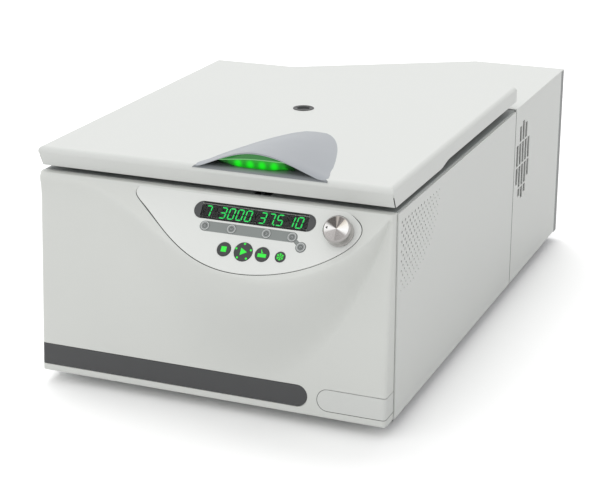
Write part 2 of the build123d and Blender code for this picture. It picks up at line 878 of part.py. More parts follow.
def make_lens():
    """The signal lamp's lens, which fills the middle of the handle's mouth."""
    steps = 12
    stations = [lens_x + lens_half_width * (2 * i / steps - 1) for i in range(steps + 1)]
    body = loft([lens_section(x) for x in stations], ruled=True)
    return body & Pos(0, -handle_front, 0) * handle_form(handle_wall + lens_gap)


def make_led_board():
    """The lamp's board standing on the lid, with its light sources in a row."""
    back = lens_back + led_board_gap
    half = led_pitch * led_count / 2
    board = block((led_centre - half, led_centre + half), (back, back + led_board_thickness),
                  (lid_top + handle_floor, lid_top + led_board_tall))
    pieces = [board]
    for i in range(led_count):
        x = led_centre + (i - (led_count - 1) / 2) * led_pitch
        pieces.append(block((x - led_size / 2, x + led_size / 2), (back - led_stand, back),
                            (lid_top + led_size, lid_top + 2 * led_size - 1.0)))
    return joined(pieces)


def hinge_ears():
    """Ears welded under the lid, one each side of each bracket, that turn on the hinge pins."""
    ears = []
    for side in (-1, 1):
        for hand in (-1, 1):
            near = side * hinge_x + hand * (bracket_thickness / 2 + ear_gap)
            far = near + hand * ear_thickness
            x = (min(near, far), max(near, far))
            ear = block(x, (hinge_y - lug_radius, hinge_y + lug_radius * 0.6),
                        (hinge_z - lug_radius * 0.6, lid_top - sheet))
            bore = Pos(0, hinge_y, hinge_z) * cross_rod(pin_radius + running_fit, (x[0] - 1, x[1] + 1))
            ears.append(ear - bore)
    return ears


def make_striker():
    """The lock's striker, which hangs from the lid's inner pan."""
    x = (handle_x - striker_thickness / 2, handle_x + striker_thickness / 2)
    y = (striker_setback, striker_setback + striker_width)
    plate = block(x, y, (inner_face - striker_drop, inner_face))
    foot = block((x[0] - striker_foot, x[1] + striker_foot), y, (inner_face - 2, inner_face))
    window_z = panel_top - bolt_drop
    reach = bolt_radius + striker_play
    middle = striker_setback + striker_width / 2
    hole = block((x[0] - 1, x[1] + 1), (middle - reach, middle + reach), (window_z - reach, window_z + reach))
    return plate + foot - hole


# ---------------------------------------------------------------- hinge brackets, lock
def make_hinge_brackets():
    """Upright brackets on the bulkhead, each with its hinge pin pressed in."""
    half = bracket_thickness / 2
    foot = panel_top - bracket_drop
    back = hinge_y + lug_radius
    post = block((-half, half), (hinge_y - lug_radius, back), (foot, hinge_z))
    lug = Pos(0, hinge_y, hinge_z) * cross_rod(lug_radius, (-half, half))
    wing = block((-half - bracket_wing, half + bracket_wing), (back - bracket_wing_depth, back),
                 (foot, panel_top - wing_drop))
    reach = half + ear_gap + ear_thickness + pin_overhang
    pin = Pos(0, hinge_y, hinge_z) * cross_rod(pin_radius, (-reach, reach))
    bracket = post + lug + wing + pin
    return group([Pos(x, 0, 0) * bracket for x in (-hinge_x, hinge_x)])


def lock_space():
    """Limits of the lock housing under the deck."""
    x = (handle_x - bolt_length - 10, handle_x + bolt_travel + 4)
    y = (striker_setback - lock_clearance - lock_wall, striker_setback + striker_width + 2 + lock_wall)
    z = (panel_top - bolt_drop - 14, panel_top)
    return x, y, z


def make_lock_housing():
    x, y, z = lock_space()
    body = block(x, y, z)
    slot = block((handle_x - striker_thickness / 2 - 1.5, handle_x + striker_thickness / 2 + 1.5),
                 (y[0] + lock_wall, y[1] - lock_wall), (z[0] + lock_wall, z[1] + 1))
    room = Pos(0, striker_setback + striker_width / 2, panel_top - bolt_drop) * cross_rod(
        bolt_radius + running_fit, (x[0] + lock_wall, x[1] - 2))
    return body - slot - room


def make_lock_bolt():
    """The bolt, drawn back at rest, that slides across through the striker."""
    tip = handle_x - striker_thickness / 2 - 2.5
    bolt = cross_rod(bolt_radius, (tip - bolt_length, tip))
    bolt = chamfer(bolt.edges().group_by(Axis.X)[-1], 1.0)
    return Pos(0, striker_setback + striker_width / 2, panel_top - bolt_drop) * bolt


# ---------------------------------------------------------------- deck and chamber
def make_deck():
    half = half_case - sheet - 1.0
    plate = block((-half, half), (front_seam + 0.6, rear_seam - seam_gap / 2), (panel_top, deck_top))
    plate = plate - axis * rod(chamber_radius + bowl_wall + 0.2, (panel_top - 1, deck_top + 1))
    slot_y = (striker_setback - lock_clearance, striker_setback + striker_width + 2)
    plate = plate - block((handle_x - 10, handle_x + 10), slot_y, (panel_top - 1, deck_top + 1))
    gap = bracket_thickness / 2 + bracket_play
    for middle in (-hinge_x, hinge_x):
        slot = block((middle - gap, middle + gap), (hinge_y - lug_radius - bracket_play, lid_depth),
                     (panel_top - 1, deck_top + 1))
        plate = plate - slot
    return plate


def make_bulkhead():
    """The cross wall between the rotor chamber and the cooling unit."""
    y = (bulkhead_y, bulkhead_y + sheet)
    wall = block((-half_case + 2 * sheet, half_case - 2 * sheet), y, (base_z + base_sheet, panel_top))
    pass_hole = Pos(pass_x, y[0] - sheet, pass_height) * Rot(-90, 0, 0) * rod(pass_radius, (0, 3 * sheet))
    return wall - pass_hole


def make_bowl():
    """The spun steel bowl, with a rolled rim on the deck and a throat for the drive."""
    outer = rod(chamber_radius + bowl_wall, (bowl_floor - bowl_wall, deck_top))
    outer = fillet(outer.edges().group_by(Axis.Z)[0], bowl_round + bowl_wall)
    inner = rod(chamber_radius, (bowl_floor, deck_top + 5))
    inner = fillet(inner.edges().group_by(Axis.Z)[0], bowl_round)
    rim = rod(chamber_radius + bowl_rim, (deck_top, deck_top + bowl_wall))
    throat = rod(throat_radius, (bowl_floor - 5, bowl_floor + 5))
    return axis * (outer + rim - inner - throat)


def make_gasket():
    inner = chamber_radius + bowl_rim + 0.3
    top = inner_face - gasket_clearance
    seal = rod(inner + gasket_width, (deck_top, top)) - rod(inner, (deck_top, top))
    return axis * fillet(seal.edges().group_by(Axis.Z)[-1], 1.8)


def make_coil():
    """The evaporator: turns of flattened copper tube round the bowl."""
    turns = []
    inner = chamber_radius + bowl_wall + coil_gap
    pitch = (chamber_depth - 2 * bowl_round) / coil_turns
    for i in range(coil_turns):
        low = bowl_floor + bowl_round + (i + 0.5) * pitch - coil_width / 2
        z = (low, low + coil_width)
        turn = rod(inner + 2 * coil_tube, z) - rod(inner, z)
        turns.append(axis * chamfer(turn.edges().filter_by(GeomType.CIRCLE), coil_bevel))
    return group(turns)


def foam_radius():
    return chamber_radius + bowl_wall + jacket


def make_foam():
    """Insulation round the bowl and under it, with room for the motor."""
    inner = foam_radius() - foam_thickness
    low = bowl_floor - bowl_wall - coil_gap
    jacket = rod(foam_radius(), (low - foam_floor, panel_top - 0.3)) - rod(inner, (low, panel_top))
    return axis * (jacket - rod(motor_radius + 4.0, (low - foam_floor - 1, low + 1)))


def make_guard():
    """The armour ring that stands on the base plate round the chamber."""
    z = (base_z + base_sheet, panel_top - 2.0)
    return axis * (rod(guard_radius, z) - rod(guard_radius - guard_thickness, z))


# ---------------------------------------------------------------- drive
def motor_plate_top():
    return base_z + base_sheet + damper_height + motor_plate_thickness


def make_motor_plate():
    top = motor_plate_top()
    return axis * rod(motor_plate_radius, (top - motor_plate_thickness, top))


def make_dampers():
    dampers = []
    low = base_z + base_sheet
    for i in range(damper_count):
        place = axis * Rot(0, 0, 90 + 360 * i / damper_count) * Pos(damper_circle, 0, 0)
        waist = Pos(0, 0, low + damper_height / 2) * Torus(damper_radius + 3.0, 5.0)
        dampers.append(place * (rod(damper_radius, (low, low + damper_height)) - waist))
    return group(dampers)


def make_motor():
    low = motor_plate_top()
    body = rod(motor_radius, (low, low + motor_height))
    body = fillet(body.edges().group_by(Axis.Z)[-1], 6.0)
    nose = rod(nose_radius, (low + motor_height - 1, bowl_floor + 4.0))
    bore = rod(shaft_radius + running_fit, (low + 12.0, bowl_floor + 5))
    return axis * (body + nose - bore)


def make_boot():
    """The rubber boot that closes the bowl's throat round the motor's nose."""
    z = (bowl_floor, bowl_floor + boot_thickness)
    return axis * (rod(throat_radius + 8.0, z) - rod(nose_radius + 0.3, z))


def make_shaft():
    low = motor_plate_top() + 12.4
    shaft = rod(shaft_radius, (low, trunnion_z + yoke_thickness / 2 + shaft_above))
    return axis * chamfer(shaft.edges().group_by(Axis.Z)[-1], 1.0)


def make_yoke():
    """The four-armed head, with a window and a pair of trunnions for each bucket."""
    half = yoke_thickness / 2
    head = rod(yoke_radius, (trunnion_z - half, trunnion_z + half))
    head = fillet(head.edges(), 2.0)
    for i in range(bucket_count):
        turn = Rot(0, 0, 360 * i / bucket_count)
        head = head - turn * block((window_start, yoke_radius + 5), (-window_half, window_half),
                                   (trunnion_z - half - 1, trunnion_z + half + 1))
    hub = rod(hub_radius, (trunnion_z - half - hub_depth, trunnion_z + half))
    head = head + hub
    for i in range(bucket_count):
        turn = Rot(0, 0, 360 * i / bucket_count)
        for hand in (-1, 1):
            tip = hand * (bucket_half - bucket_wall + bucket_skin)
            root = hand * (window_half + 2.0)
            pin = Pos(trunnion_circle, 0, trunnion_z) * Rot(-90, 0, 0) * rod(
                trunnion_radius, (min(tip, root), max(tip, root)))
            head = head + turn * pin
    bore = rod(shaft_radius + press_fit, (trunnion_z - half - hub_depth - 1, trunnion_z + half + 1))
    return axis * (head - bore)


def make_rotor_nut():
    """The clamp nut on the shaft's end, with a fluted grip."""
    low = trunnion_z + yoke_thickness / 2
    nut = rod(nut_radius, (low, low + nut_height))
    nut = fillet(nut.edges().group_by(Axis.Z)[-1], 3.0)
    flute = Pos(nut_radius + 2.0, 0, 0) * rod(nut_flute, (low + 5.0, low + nut_height + 1))
    for i in range(nut_flutes):
        nut = nut - Rot(0, 0, 360 * i / nut_flutes) * flute
    return axis * (nut - rod(shaft_radius + press_fit, (low - 1, low + shaft_above + 0.4)))


def make_bucket(index):
    """A square swing bucket, open at the top, hung on two trunnions."""
    x = (trunnion_circle - bucket_radial, trunnion_circle + bucket_radial)
    z = (trunnion_z - bucket_below, trunnion_z + bucket_above)
    cup = block(x, (-bucket_half, bucket_half), z)
    cup = fillet(cup.edges().filter_by(Axis.Z), bucket_round)
    inner_half = bucket_half - bucket_wall
    inside = (x[0] + bucket_wall, x[1] - bucket_wall)
    cavity = block(inside, (-inner_half, inner_half), (z[0] + bucket_wall, z[1] + 1))
    cup = cup - fillet(cavity.edges().filter_by(Axis.Z), bucket_round / 2)
    hole_depth = bucket_wall - bucket_skin + 0.3
    for hand in (-1, 1):
        inner = hand * (bucket_half - hole_depth)
        outer = hand * (bucket_half + 1)
        hole = Pos(trunnion_circle, 0, trunnion_z) * Rot(-90, 0, 0) * rod(
            trunnion_radius + running_fit, (min(inner, outer), max(inner, outer)))
        cup = cup - hole
    return axis * Rot(0, 0, 360 * index / bucket_count) * cup


# ---------------------------------------------------------------- rear casing
def make_hood():
    """The rear casing's folded sheet: top and both sides."""
    top = Pos(0, 0, hood_top - sheet) * extrude(hood_plan(), amount=sheet)
    right = block((half_case - sheet, half_case), (hood_start, hood_end - rear_return), (base_z, hood_top))
    left = block((-half_case, -half_case + sheet), (hood_start, hood_end - cut_depth), (base_z, hood_top))
    shell = top + right + left
    through = (half_case - 5, half_case + 5)
    middle_y = rear_seam + grille_y
    middle_z = hood_top - grille_down
    for row in range(4):
        high = middle_z - row_drop + (2 - row) * row_pitch - grille_rib / 2
        low = high - row_pitch + grille_rib
        for column in range(grille_columns):
            offset = (column - (grille_columns - 1) / 2) * slot_pitch
            reach = grille_half_height * math.sqrt(max(1 - (offset / grille_half_width) ** 2, 0.0))
            top_z = min(high, middle_z + reach)
            low_z = max(low, middle_z - reach)
            if top_z - low_z > slot_width / 2:
                slot = block(through, (-slot_width / 2, slot_width / 2), (low_z, top_z))
                shell = shell - Pos(0, middle_y + offset, 0) * slot
    return shell


def hood_plan():
    corners = [(-half_case, hood_start), (half_case, hood_start), (half_case, hood_end),
               (cut_x, hood_end), (-half_case, hood_end - cut_depth)]
    return make_face(Polyline(*corners, close=True))


def cut_frame():
    """A frame on the middle of the slanting rear wall: X along it to the left, Y up and Z out of it."""
    along = Vector(-cut_x - half_case, -cut_depth, 0).normalized()
    out = Vector(along.Y, -along.X, 0)
    middle = ((cut_x - half_case) / 2, hood_end - cut_depth / 2, fan_height)
    return Plane(origin=middle, x_dir=along, z_dir=out).location


def make_rear_panel():
    """The rear wall: a return at the right, a straight stretch and the slanting wall."""
    low = base_z - rear_drop
    high = hood_top - sheet
    side = block((half_case - sheet, half_case), (hood_end - rear_return + 0.6, rear_face), (low, high))
    back = block((cut_x, half_case), (hood_end, rear_face), (low, high))
    frame = cut_frame()
    tall = (low - fan_height, high - fan_height)
    slant = frame * block((-cut_length / 2 - sheet / 2, cut_length / 2), tall, (0, sheet))
    slant = slant & block((-half_case, half_case), (0, rear_face + 9), (0, hood_top))
    panel_sheet = side + back + slant
    steps = int(fan_radius / fan_slot_pitch)
    for i in range(-steps, steps + 1):
        x = i * fan_slot_pitch
        reach = math.sqrt(max(fan_radius ** 2 - x ** 2, 0.0))
        if reach > fan_slot_width:
            slot = block((x - fan_slot_width / 2, x + fan_slot_width / 2), (-reach, reach), (-5, 5))
            rib = block((x - fan_slot_width, x + fan_slot_width), (-rib_width / 2, rib_width / 2), (-6, 6))
            panel_sheet = panel_sheet - frame * (slot - rib)
    through = (hood_end - 2, rear_face + 2)
    inlet = Pos(inlet_x, 0, inlet_height) * upright(socket_width + 4, socket_tall + 4, through)
    switch = Pos(inlet_x, 0, switch_height) * upright(switch_width - 3, switch_tall - 3, through)
    return panel_sheet - inlet - switch


def upright(width, tall, y):
    """A block centred across and in height, between two places in depth."""
    return block((-width / 2, width / 2), y, (-tall / 2, tall / 2))


def make_fan_frame():
    """The fan's square frame, with its motor on three struts, behind the slanting wall."""
    depth = (-fan_frame_depth, 0)
    frame = block((-fan_frame_half, fan_frame_half), (-fan_frame_half, fan_frame_half), depth)
    frame = fillet(frame.edges().filter_by(Axis.Z), 6.0)
    frame = frame - rod(fan_radius + fan_tip_gap, (-fan_frame_depth - 1, 1))
    spider = rod(fan_hub_radius - 2, (-fan_frame_depth, fan_motor_depth - fan_frame_depth))
    strut = block((0, fan_radius + fan_tip_gap + 1), (-3, 3), (-fan_frame_depth, -fan_frame_depth + 4))
    for i in range(3):
        spider = spider + Rot(0, 0, 120 * i + 30) * strut
    spindle = rod(fan_spindle, (-fan_frame_depth, -8))
    return cut_frame() * (frame + spider + spindle)


def make_fan_rotor():
    hub = rod(fan_hub_radius, (fan_motor_depth + 2 - fan_frame_depth, -4))
    hub = fillet(hub.edges().group_by(Axis.Z)[-1], 3.0)
    half_wide = fan_blade_width / 2
    half_thick = fan_blade_thickness / 2
    blade = block((fan_hub_radius - 3, fan_radius), (-half_thick, half_thick), (-half_wide, half_wide))
    blade = Pos(0, 0, 4 - fan_frame_depth / 2) * Rot(fan_blade_angle, 0, 0) * blade
    for i in range(fan_blades):
        hub = hub + Rot(0, 0, 360 * i / fan_blades) * blade
    return cut_frame() * (hub - rod(fan_spindle + running_fit, (-fan_frame_depth, -7.6)))


def make_condenser():
    """The finned condenser behind the fan, with two end plates and four tubes."""
    near = -fan_frame_depth - 0.3
    z = (near - condenser_depth, near)
    low = base_z + base_sheet - fan_height
    pieces = []
    for x in (-condenser_half, condenser_half):
        pieces.append(block((x - end_plate / 2, x + end_plate / 2), (low, low + condenser_height), z))
    pitch = 2 * condenser_half / condenser_fins
    upper = low + condenser_height - fin_inset
    for i in range(1, condenser_fins):
        x = -condenser_half + i * pitch
        pieces.append(block((x - fin_thickness / 2, x + fin_thickness / 2), (low + fin_inset, upper), z))
    reach = condenser_half + condenser_bend
    for i in range(condenser_tubes):
        y = low + (i + 0.5) * condenser_height / condenser_tubes
        pieces.append(Pos(0, y, (z[0] + z[1]) / 2) * cross_rod(condenser_tube, (-reach, reach)))
    return cut_frame() * joined(pieces)


def make_compressor():
    """The hermetic compressor on rubber grommets, with its terminal box."""
    low = base_z + base_sheet + compressor_lift
    shell = rod(compressor_radius, (low, low + compressor_height))
    shell = fillet(shell.edges().group_by(Axis.Z)[-1], compressor_crown)
    shell = fillet(shell.edges().group_by(Axis.Z)[0], 10.0)
    foot = block((-compressor_radius, compressor_radius), (-foot_plate_half, foot_plate_half), (low - 3, low))
    neck = rod(compressor_neck, (low - 1, low + 12))
    middle = low + terminal_height
    terminal = block((-compressor_radius - 8, -compressor_radius + 10), (-18, 18), (middle - 20, middle + 20))
    place = Pos(compressor_x, rear_seam + compressor_y, 0)
    pieces = [place * (shell + foot + neck + terminal)]
    for x in (-grommet_x, grommet_x):
        for y in (-grommet_y, grommet_y):
            pieces.append(place * Pos(x, y, 0) * rod(grommet_radius, (base_z + base_sheet, low - 3)))
    return group(pieces)


def tube(points, radii):
    path = FilletPolyline(*points, radius=radii)
    start = path.edges()[0]
    section = Plane(origin=start @ 0, z_dir=start % 0) * Circle(line_radius)
    return sweep(section, path=path)


def make_lines():
    """Copper lines between the compressor, the condenser and the evaporator."""
    low = base_z + base_sheet
    top = low + compressor_lift + compressor_height
    y = rear_seam + compressor_y
    near = compressor_x - hot_port
    far = near - hot_reach
    crest = top + hot_rise
    turn = y - 6
    foot = crest - hot_drop - 6
    hot = tube([(near, y, top), (near, y, crest), (far, turn, crest), (far, turn, foot)], hot_bend)
    x = compressor_x + cold_port
    start = y - cold_port_back
    crest = top + cold_rise
    behind = rear_seam + cold_setback
    end = axis_setback + math.sqrt(guard_radius ** 2 - (pass_x - line_radius) ** 2) + line_end_gap
    cold = tube([(x, start, top), (x, start, crest), (x, behind, crest), (x, behind, pass_height),
                 (pass_x, behind, pass_height), (pass_x, end, pass_height)], cold_bend)
    return group([hot, cold])


def make_inlet():
    """The mains entry: a three-pin inlet below and the rocker's frame above, on one flange."""
    outer_face = rear_face + inlet_flange
    flange = upright(inlet_width, inlet_tall, (rear_face, outer_face))
    flange = fillet(flange.edges().filter_by(Axis.Y), 3.0)
    shell = upright(socket_width + 3.6, socket_tall + 3.6, (rear_face - socket_depth - 2, rear_face))
    socket = upright(socket_width, socket_tall, (outer_face - socket_depth, rear_face + 5))
    body = flange + shell - socket
    pin = upright(pin_width, pin_tall, (outer_face - socket_depth - 1, outer_face - pin_recess))
    for x, z in ((-pin_pitch, -2), (0, 2), (pin_pitch, -2)):
        body = body + Pos(x, 0, z) * pin
    return Pos(inlet_x, 0, inlet_height) * body + switch_frame()


def switch_frame():
    bezel = upright(switch_width, switch_tall, (rear_face, rear_face + 1.6))
    case = upright(switch_width - 4, switch_tall - 4, (rear_face - switch_depth, rear_face))
    room = upright(switch_width - 7, switch_tall - 7, (rear_face - switch_depth + 2, rear_face + 3))
    pin = Pos(0, rear_face - 3, 0) * cross_rod(rocker_pin, (3 - switch_width / 2, switch_width / 2 - 3))
    return Pos(inlet_x, 0, switch_height) * (bezel + case - room + pin)


def make_rocker():
    """The power switch's rocker, tilted to its off side at rest."""
    half = switch_tall / 2 - 4.6
    width = switch_width / 2 - 4.0
    body = Rot(0, 90, 0) * Cylinder(9.0, 2 * width)
    wings = block((-width, width), (-4.2, 3.2), (-half, half))
    body = (body & block((-width, width), (-6, 3.2), (-half, half))) + wings
    body = body - cross_rod(rocker_pin + running_fit, (-width - 1, width + 1))
    return Pos(inlet_x, rear_face - 3, switch_height) * Rot(-rocker_angle, 0, 0) * body


def make_controller():
    """The drive's power board and heat sink on the bulkhead."""
    face = bulkhead_y + sheet
    low = base_z + controller_lift
    left = controller_inset - half_case
    z = (low, low + controller_height)
    back = face + controller_plate
    sink = block((left, left + controller_width), (face, back), z)
    pitch = (controller_width - controller_fin) / (controller_fins - 1)
    for i in range(controller_fins):
        near = left + i * pitch
        sink = sink + block((near, near + controller_fin), (back - 1, back + controller_fin_depth), z)
    return sink


def make_screws():
    """Pan-head screws that hold the rear wall."""
    heads = []
    for x in (cut_x + 12, half_case - 14):
        for z in (base_z + 14, hood_top - 18):
            head = Pos(x, rear_face, z) * Rot(-90, 0, 0) * rod(screw_radius, (0, screw_head))
            heads.append(head)
    frame = cut_frame()
    length = cut_length / 2 - 16
    for x in (8 - length, length):
        for z in (base_z + 14, hood_top - 18):
            heads.append(frame * Pos(x, z - fan_height, sheet) * rod(screw_radius, (0, screw_head)))
    return group(heads)


# ---------------------------------------------------------------- write the pieces
save("base_plate", make_base_plate())
save("feet", make_feet())
save("left_side_panel", make_side_panel(-1, False))
save("right_side_panel", make_side_panel(1, True))
save("front_cover", make_front_cover())
save("front_band", make_trim(-half_case, controls_x + band_end))
save("corner_trim", make_trim(half_case, controls_x + corner_trim_start))
save("keypad_overlay", make_keypad())
save("display_window", make_window())
save("control_board", make_board())
save("speed_knob", make_knob())
control_names = ["stop_button", "start_button", "lid_button", "cool_button",
                 "program_key", "speed_key", "time_key", "temperature_key", "mode_key"]
for name, place in zip(control_names, control_places()):
    save(name, make_button(*place))
save("lid_outer", make_lid_outer())
save("lid_inner", make_lid_inner())
save("lid_foam", make_lid_foam())
save("lid_port", make_lid_port())
save("lid_handle", make_handle())
save("signal_lens", make_lens())
save("led_board", make_led_board())
save("lock_striker", make_striker())
save("hinge_brackets", make_hinge_brackets())
save("lock_housing", make_lock_housing())
save("lock_bolt", make_lock_bolt())
save("deck_plate", make_deck())
save("bulkhead", make_bulkhead())
save("chamber_bowl", make_bowl())
save("chamber_gasket", make_gasket())
save("evaporator_coil", make_coil())
save("chamber_foam", make_foam())
save("guard_ring", make_guard())
save("motor_plate", make_motor_plate())
save("motor_dampers", make_dampers())
save("drive_motor", make_motor())
save("shaft_boot", make_boot())
save("drive_shaft", make_shaft())
save("rotor_yoke", make_yoke())
save("rotor_nut", make_rotor_nut())
for index in range(bucket_count):
    save("swing_bucket_" + str(index + 1), make_bucket(index))
save("rear_hood", make_hood())
save("rear_panel", make_rear_panel())
save("fan_frame", make_fan_frame())
save("fan_rotor", make_fan_rotor())
save("condenser", make_condenser())
save("compressor", make_compressor())
save("coolant_lines", make_lines())
save("mains_inlet", make_inlet())
save("power_rocker", make_rocker())
save("drive_controller", make_controller())
save("casing_screws", make_screws())
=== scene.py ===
import math

import bmesh
import bpy
from mathutils import Matrix, Vector


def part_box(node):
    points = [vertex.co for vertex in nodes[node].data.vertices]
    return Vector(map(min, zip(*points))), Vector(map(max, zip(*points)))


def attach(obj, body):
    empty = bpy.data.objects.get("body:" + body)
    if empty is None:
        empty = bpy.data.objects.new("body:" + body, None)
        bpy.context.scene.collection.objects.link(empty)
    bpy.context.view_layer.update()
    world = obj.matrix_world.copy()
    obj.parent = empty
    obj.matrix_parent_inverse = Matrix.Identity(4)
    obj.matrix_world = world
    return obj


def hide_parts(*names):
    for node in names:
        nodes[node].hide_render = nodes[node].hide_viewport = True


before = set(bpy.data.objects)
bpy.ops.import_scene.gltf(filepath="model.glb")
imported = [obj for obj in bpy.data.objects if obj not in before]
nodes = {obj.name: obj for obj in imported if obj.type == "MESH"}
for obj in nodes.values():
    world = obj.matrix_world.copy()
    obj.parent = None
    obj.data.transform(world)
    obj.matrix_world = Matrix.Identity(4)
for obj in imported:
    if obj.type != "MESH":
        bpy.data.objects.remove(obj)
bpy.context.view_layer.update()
mm = 0.001

# ---------------------------------------------------------------- studio
# A pale seamless floor under a white sky, with a broad lamp overhead and a weaker one at the front left.
# The floor is plain matt card. The camera stands at the object's front right, slightly above its lid.
scene = bpy.context.scene
scene.view_settings.view_transform = "Standard"


def linear(code):
    """An sRGB hex colour as linear RGBA."""
    parts = [int(code[i:i + 2], 16) / 255 for i in (1, 3, 5)]
    return tuple(c / 12.92 if c <= 0.04045 else ((c + 0.055) / 1.055) ** 2.4 for c in parts) + (1.0,)


def add(tree, kind, values=None, **settings):
    """Add a shader or geometry node, set it up, and fill or link its inputs."""
    new = tree.nodes.new(kind)
    for key, value in settings.items():
        setattr(new, key, value)
    for key, value in (values or {}).items():
        if isinstance(value, bpy.types.NodeSocket):
            tree.links.new(value, new.inputs[key])
        else:
            new.inputs[key].default_value = value
    return new


def blank(name):
    """A new material, with its node tree and its principled shader."""
    made = bpy.data.materials.new(name)
    made.use_nodes = True
    return made, made.node_tree, made.node_tree.nodes["Principled BSDF"]


view_turn = math.radians(22.45)
view_drop = math.radians(19.31)
lens = bpy.data.cameras.new("camera")
lens.lens = 100.27
lens.sensor_width = 36.0
lens.clip_end = 60.0
camera = bpy.data.objects.new("camera", lens)
camera.location = (0.7114, -1.7924, 0.7490)
camera.rotation_euler = (math.pi / 2 - view_drop, 0, view_turn)
scene.collection.objects.link(camera)
scene.camera = camera

sky_level = 0.68
world = bpy.data.worlds.new("white sky")
scene.world = world
world.use_nodes = True
sky = world.node_tree
sky.nodes.clear()
ray = add(sky, "ShaderNodeLightPath")
# The sky is seen and mirrored as white, but lights the object at a lower level.
seen = ray.outputs["Is Camera Ray"]
for kind in ("Is Glossy Ray", "Is Transmission Ray"):
    seen = add(sky, "ShaderNodeMath", {0: seen, 1: ray.outputs[kind]}, operation="MAXIMUM").outputs[0]
plain = add(sky, "ShaderNodeBackground", {"Color": (1, 1, 1, 1), "Strength": sky_level})
white = add(sky, "ShaderNodeBackground", {"Color": (1, 1, 1, 1), "Strength": 1.0})
either = add(sky, "ShaderNodeMixShader", {0: seen, 1: plain.outputs[0], 2: white.outputs[0]})
add(sky, "ShaderNodeOutputWorld", {"Surface": either.outputs[0]})


def lamp(name, toward, energy, spread):
    """A broad distant lamp that stands in a direction from the object, with an angular width in degrees."""
    light = bpy.data.lights.new(name, "SUN")
    light.energy = energy
    light.angle = math.radians(spread)
    thing = bpy.data.objects.new(name, light)
    thing.rotation_euler = Vector(toward).to_track_quat("Z", "Y").to_euler()
    thing.visible_glossy = False
    scene.collection.objects.link(thing)


lamp("overhead lamp", (-0.18, 0.25, 0.50), 1.06, 45)
lamp("front fill", (-0.32, -0.80, 0.42), 0.68, 90)

# The card looks white to the camera and throws back a little less light on the object.
floor_bounce, floor_white = 0.80, 1.22
card, tree, shader = blank("floor card")
tree.nodes.clear()
ray = add(tree, "ShaderNodeLightPath")
bounced, viewed = [add(tree, "ShaderNodeBsdfDiffuse", {"Color": (level, level, level, 1)}).outputs[0]
                   for level in (floor_bounce, floor_white)]
either = add(tree, "ShaderNodeMixShader", {0: ray.outputs["Is Camera Ray"], 1: bounced, 2: viewed})
add(tree, "ShaderNodeOutputMaterial", {"Surface": either.outputs[0]})


def smoothed(mesh, angle):
    """Shade a mesh smooth, but for edges sharper than an angle in degrees."""
    mesh.shade_smooth()
    mesh.set_sharp_from_angle(angle=math.radians(angle))


def shape(name, points, faces, finish=None, smooth=None):
    """A mesh object from its points and faces, with its finish and its smoothing angle."""
    mesh = bpy.data.meshes.new(name)
    mesh.from_pydata([tuple(p) for p in points], [], faces)
    mesh.update()
    thing = bpy.data.objects.new(name, mesh)
    scene.collection.objects.link(thing)
    if finish:
        mesh.materials.append(finish)
    if smooth:
        smoothed(mesh, smooth)
    return thing


floor_reach = 14.0
floor_corners = [(floor_reach * a, floor_reach * b, 0) for a, b in ((-1, -1), (1, -1), (1, 1), (-1, 1))]
floor = shape("floor", floor_corners, [(0, 1, 2, 3)], card)

# ---------------------------------------------------------------- casing
# Folded steel sheet, 1.5 mm thick, powder-coated in one light grey-white and screwed to the base plate.
# The side panels and the rear hood share the coat. The rear wall is coated in mid grey.
def surface(name, colour, roughness, grain=0.0, depth=0.0, metallic=0.0, mottle=0.02, patch=30.0):
    """A principled finish in Object coordinates: faint tone patches and a fine relief, in millimetres."""
    made, tree, shader = blank(name)
    place = add(tree, "ShaderNodeTexCoord").outputs["Object"]
    tone = add(tree, "ShaderNodeTexNoise", {"Vector": place, "Scale": 1000 / patch, "Detail": 3.0})
    # Most of the noise lies between these values.
    usual = {"Value": tone.outputs["Fac"], "From Min": 0.3, "From Max": 0.7}
    shift = add(tree, "ShaderNodeMapRange", usual | {"To Min": 1 - mottle, "To Max": 1 + mottle})
    tint = add(tree, "ShaderNodeHueSaturation", {"Color": linear(colour), "Value": shift.outputs[0]})
    tree.links.new(tint.outputs["Color"], shader.inputs["Base Color"])
    uneven = {"To Min": roughness * 0.93, "To Max": roughness * 1.07}
    sheen = add(tree, "ShaderNodeMapRange", usual | uneven)
    tree.links.new(sheen.outputs[0], shader.inputs["Roughness"])
    shader.inputs["Metallic"].default_value = metallic
    if grain:
        relief = add(tree, "ShaderNodeTexNoise", {"Vector": place, "Scale": 1000 / grain, "Detail": 2.0})
        bump = add(tree, "ShaderNodeBump", {"Height": relief.outputs["Fac"], "Distance": depth * mm,
                                            "Strength": 1.0})
        tree.links.new(bump.outputs[0], shader.inputs["Normal"])
    return made


def dress(finish, *names):
    """Give CAD nodes a finish."""
    for name in names:
        mesh = nodes[name].data
        mesh.materials.clear()
        mesh.materials.append(finish)
        for face in mesh.polygons:
            face.material_index = 0


# Powder coat: sprayed and stoved polyester. It has a soft gloss and a fine orange peel of about 1.4 mm.
coat = surface("light powder coat", "#dcdedb", 0.42, grain=1.4, depth=0.012, mottle=0.006, patch=60)
# The rear wall's coat is the same process in mid grey.
grey_coat = surface("grey powder coat", "#8c8f8f", 0.45, grain=1.4, depth=0.014, mottle=0.01, patch=60)
# Zinc plate: bright, slightly bluish, with cloudy spangles some 8 mm wide.
zinc = surface("zinc plated steel", "#b9bcc0", 0.36, grain=0.8, depth=0.004,
               metallic=1.0, mottle=0.10, patch=8)
dress(coat, "left_side_panel", "right_side_panel", "rear_hood")
dress(grey_coat, "rear_panel")
dress(zinc, "base_plate", "bulkhead", "hinge_brackets", "motor_plate")
# Dark steel: phosphated and oiled, almost black, with cloudy patches about 15 mm wide. On the guard ring
# its near-black is painted shade: the dark inside seen through the vent holes.
vent_shade_steel = surface("phosphated steel", "#343637", 0.55, grain=0.9, depth=0.010, mottle=0.10, patch=15)
dress(vent_shade_steel, "guard_ring")

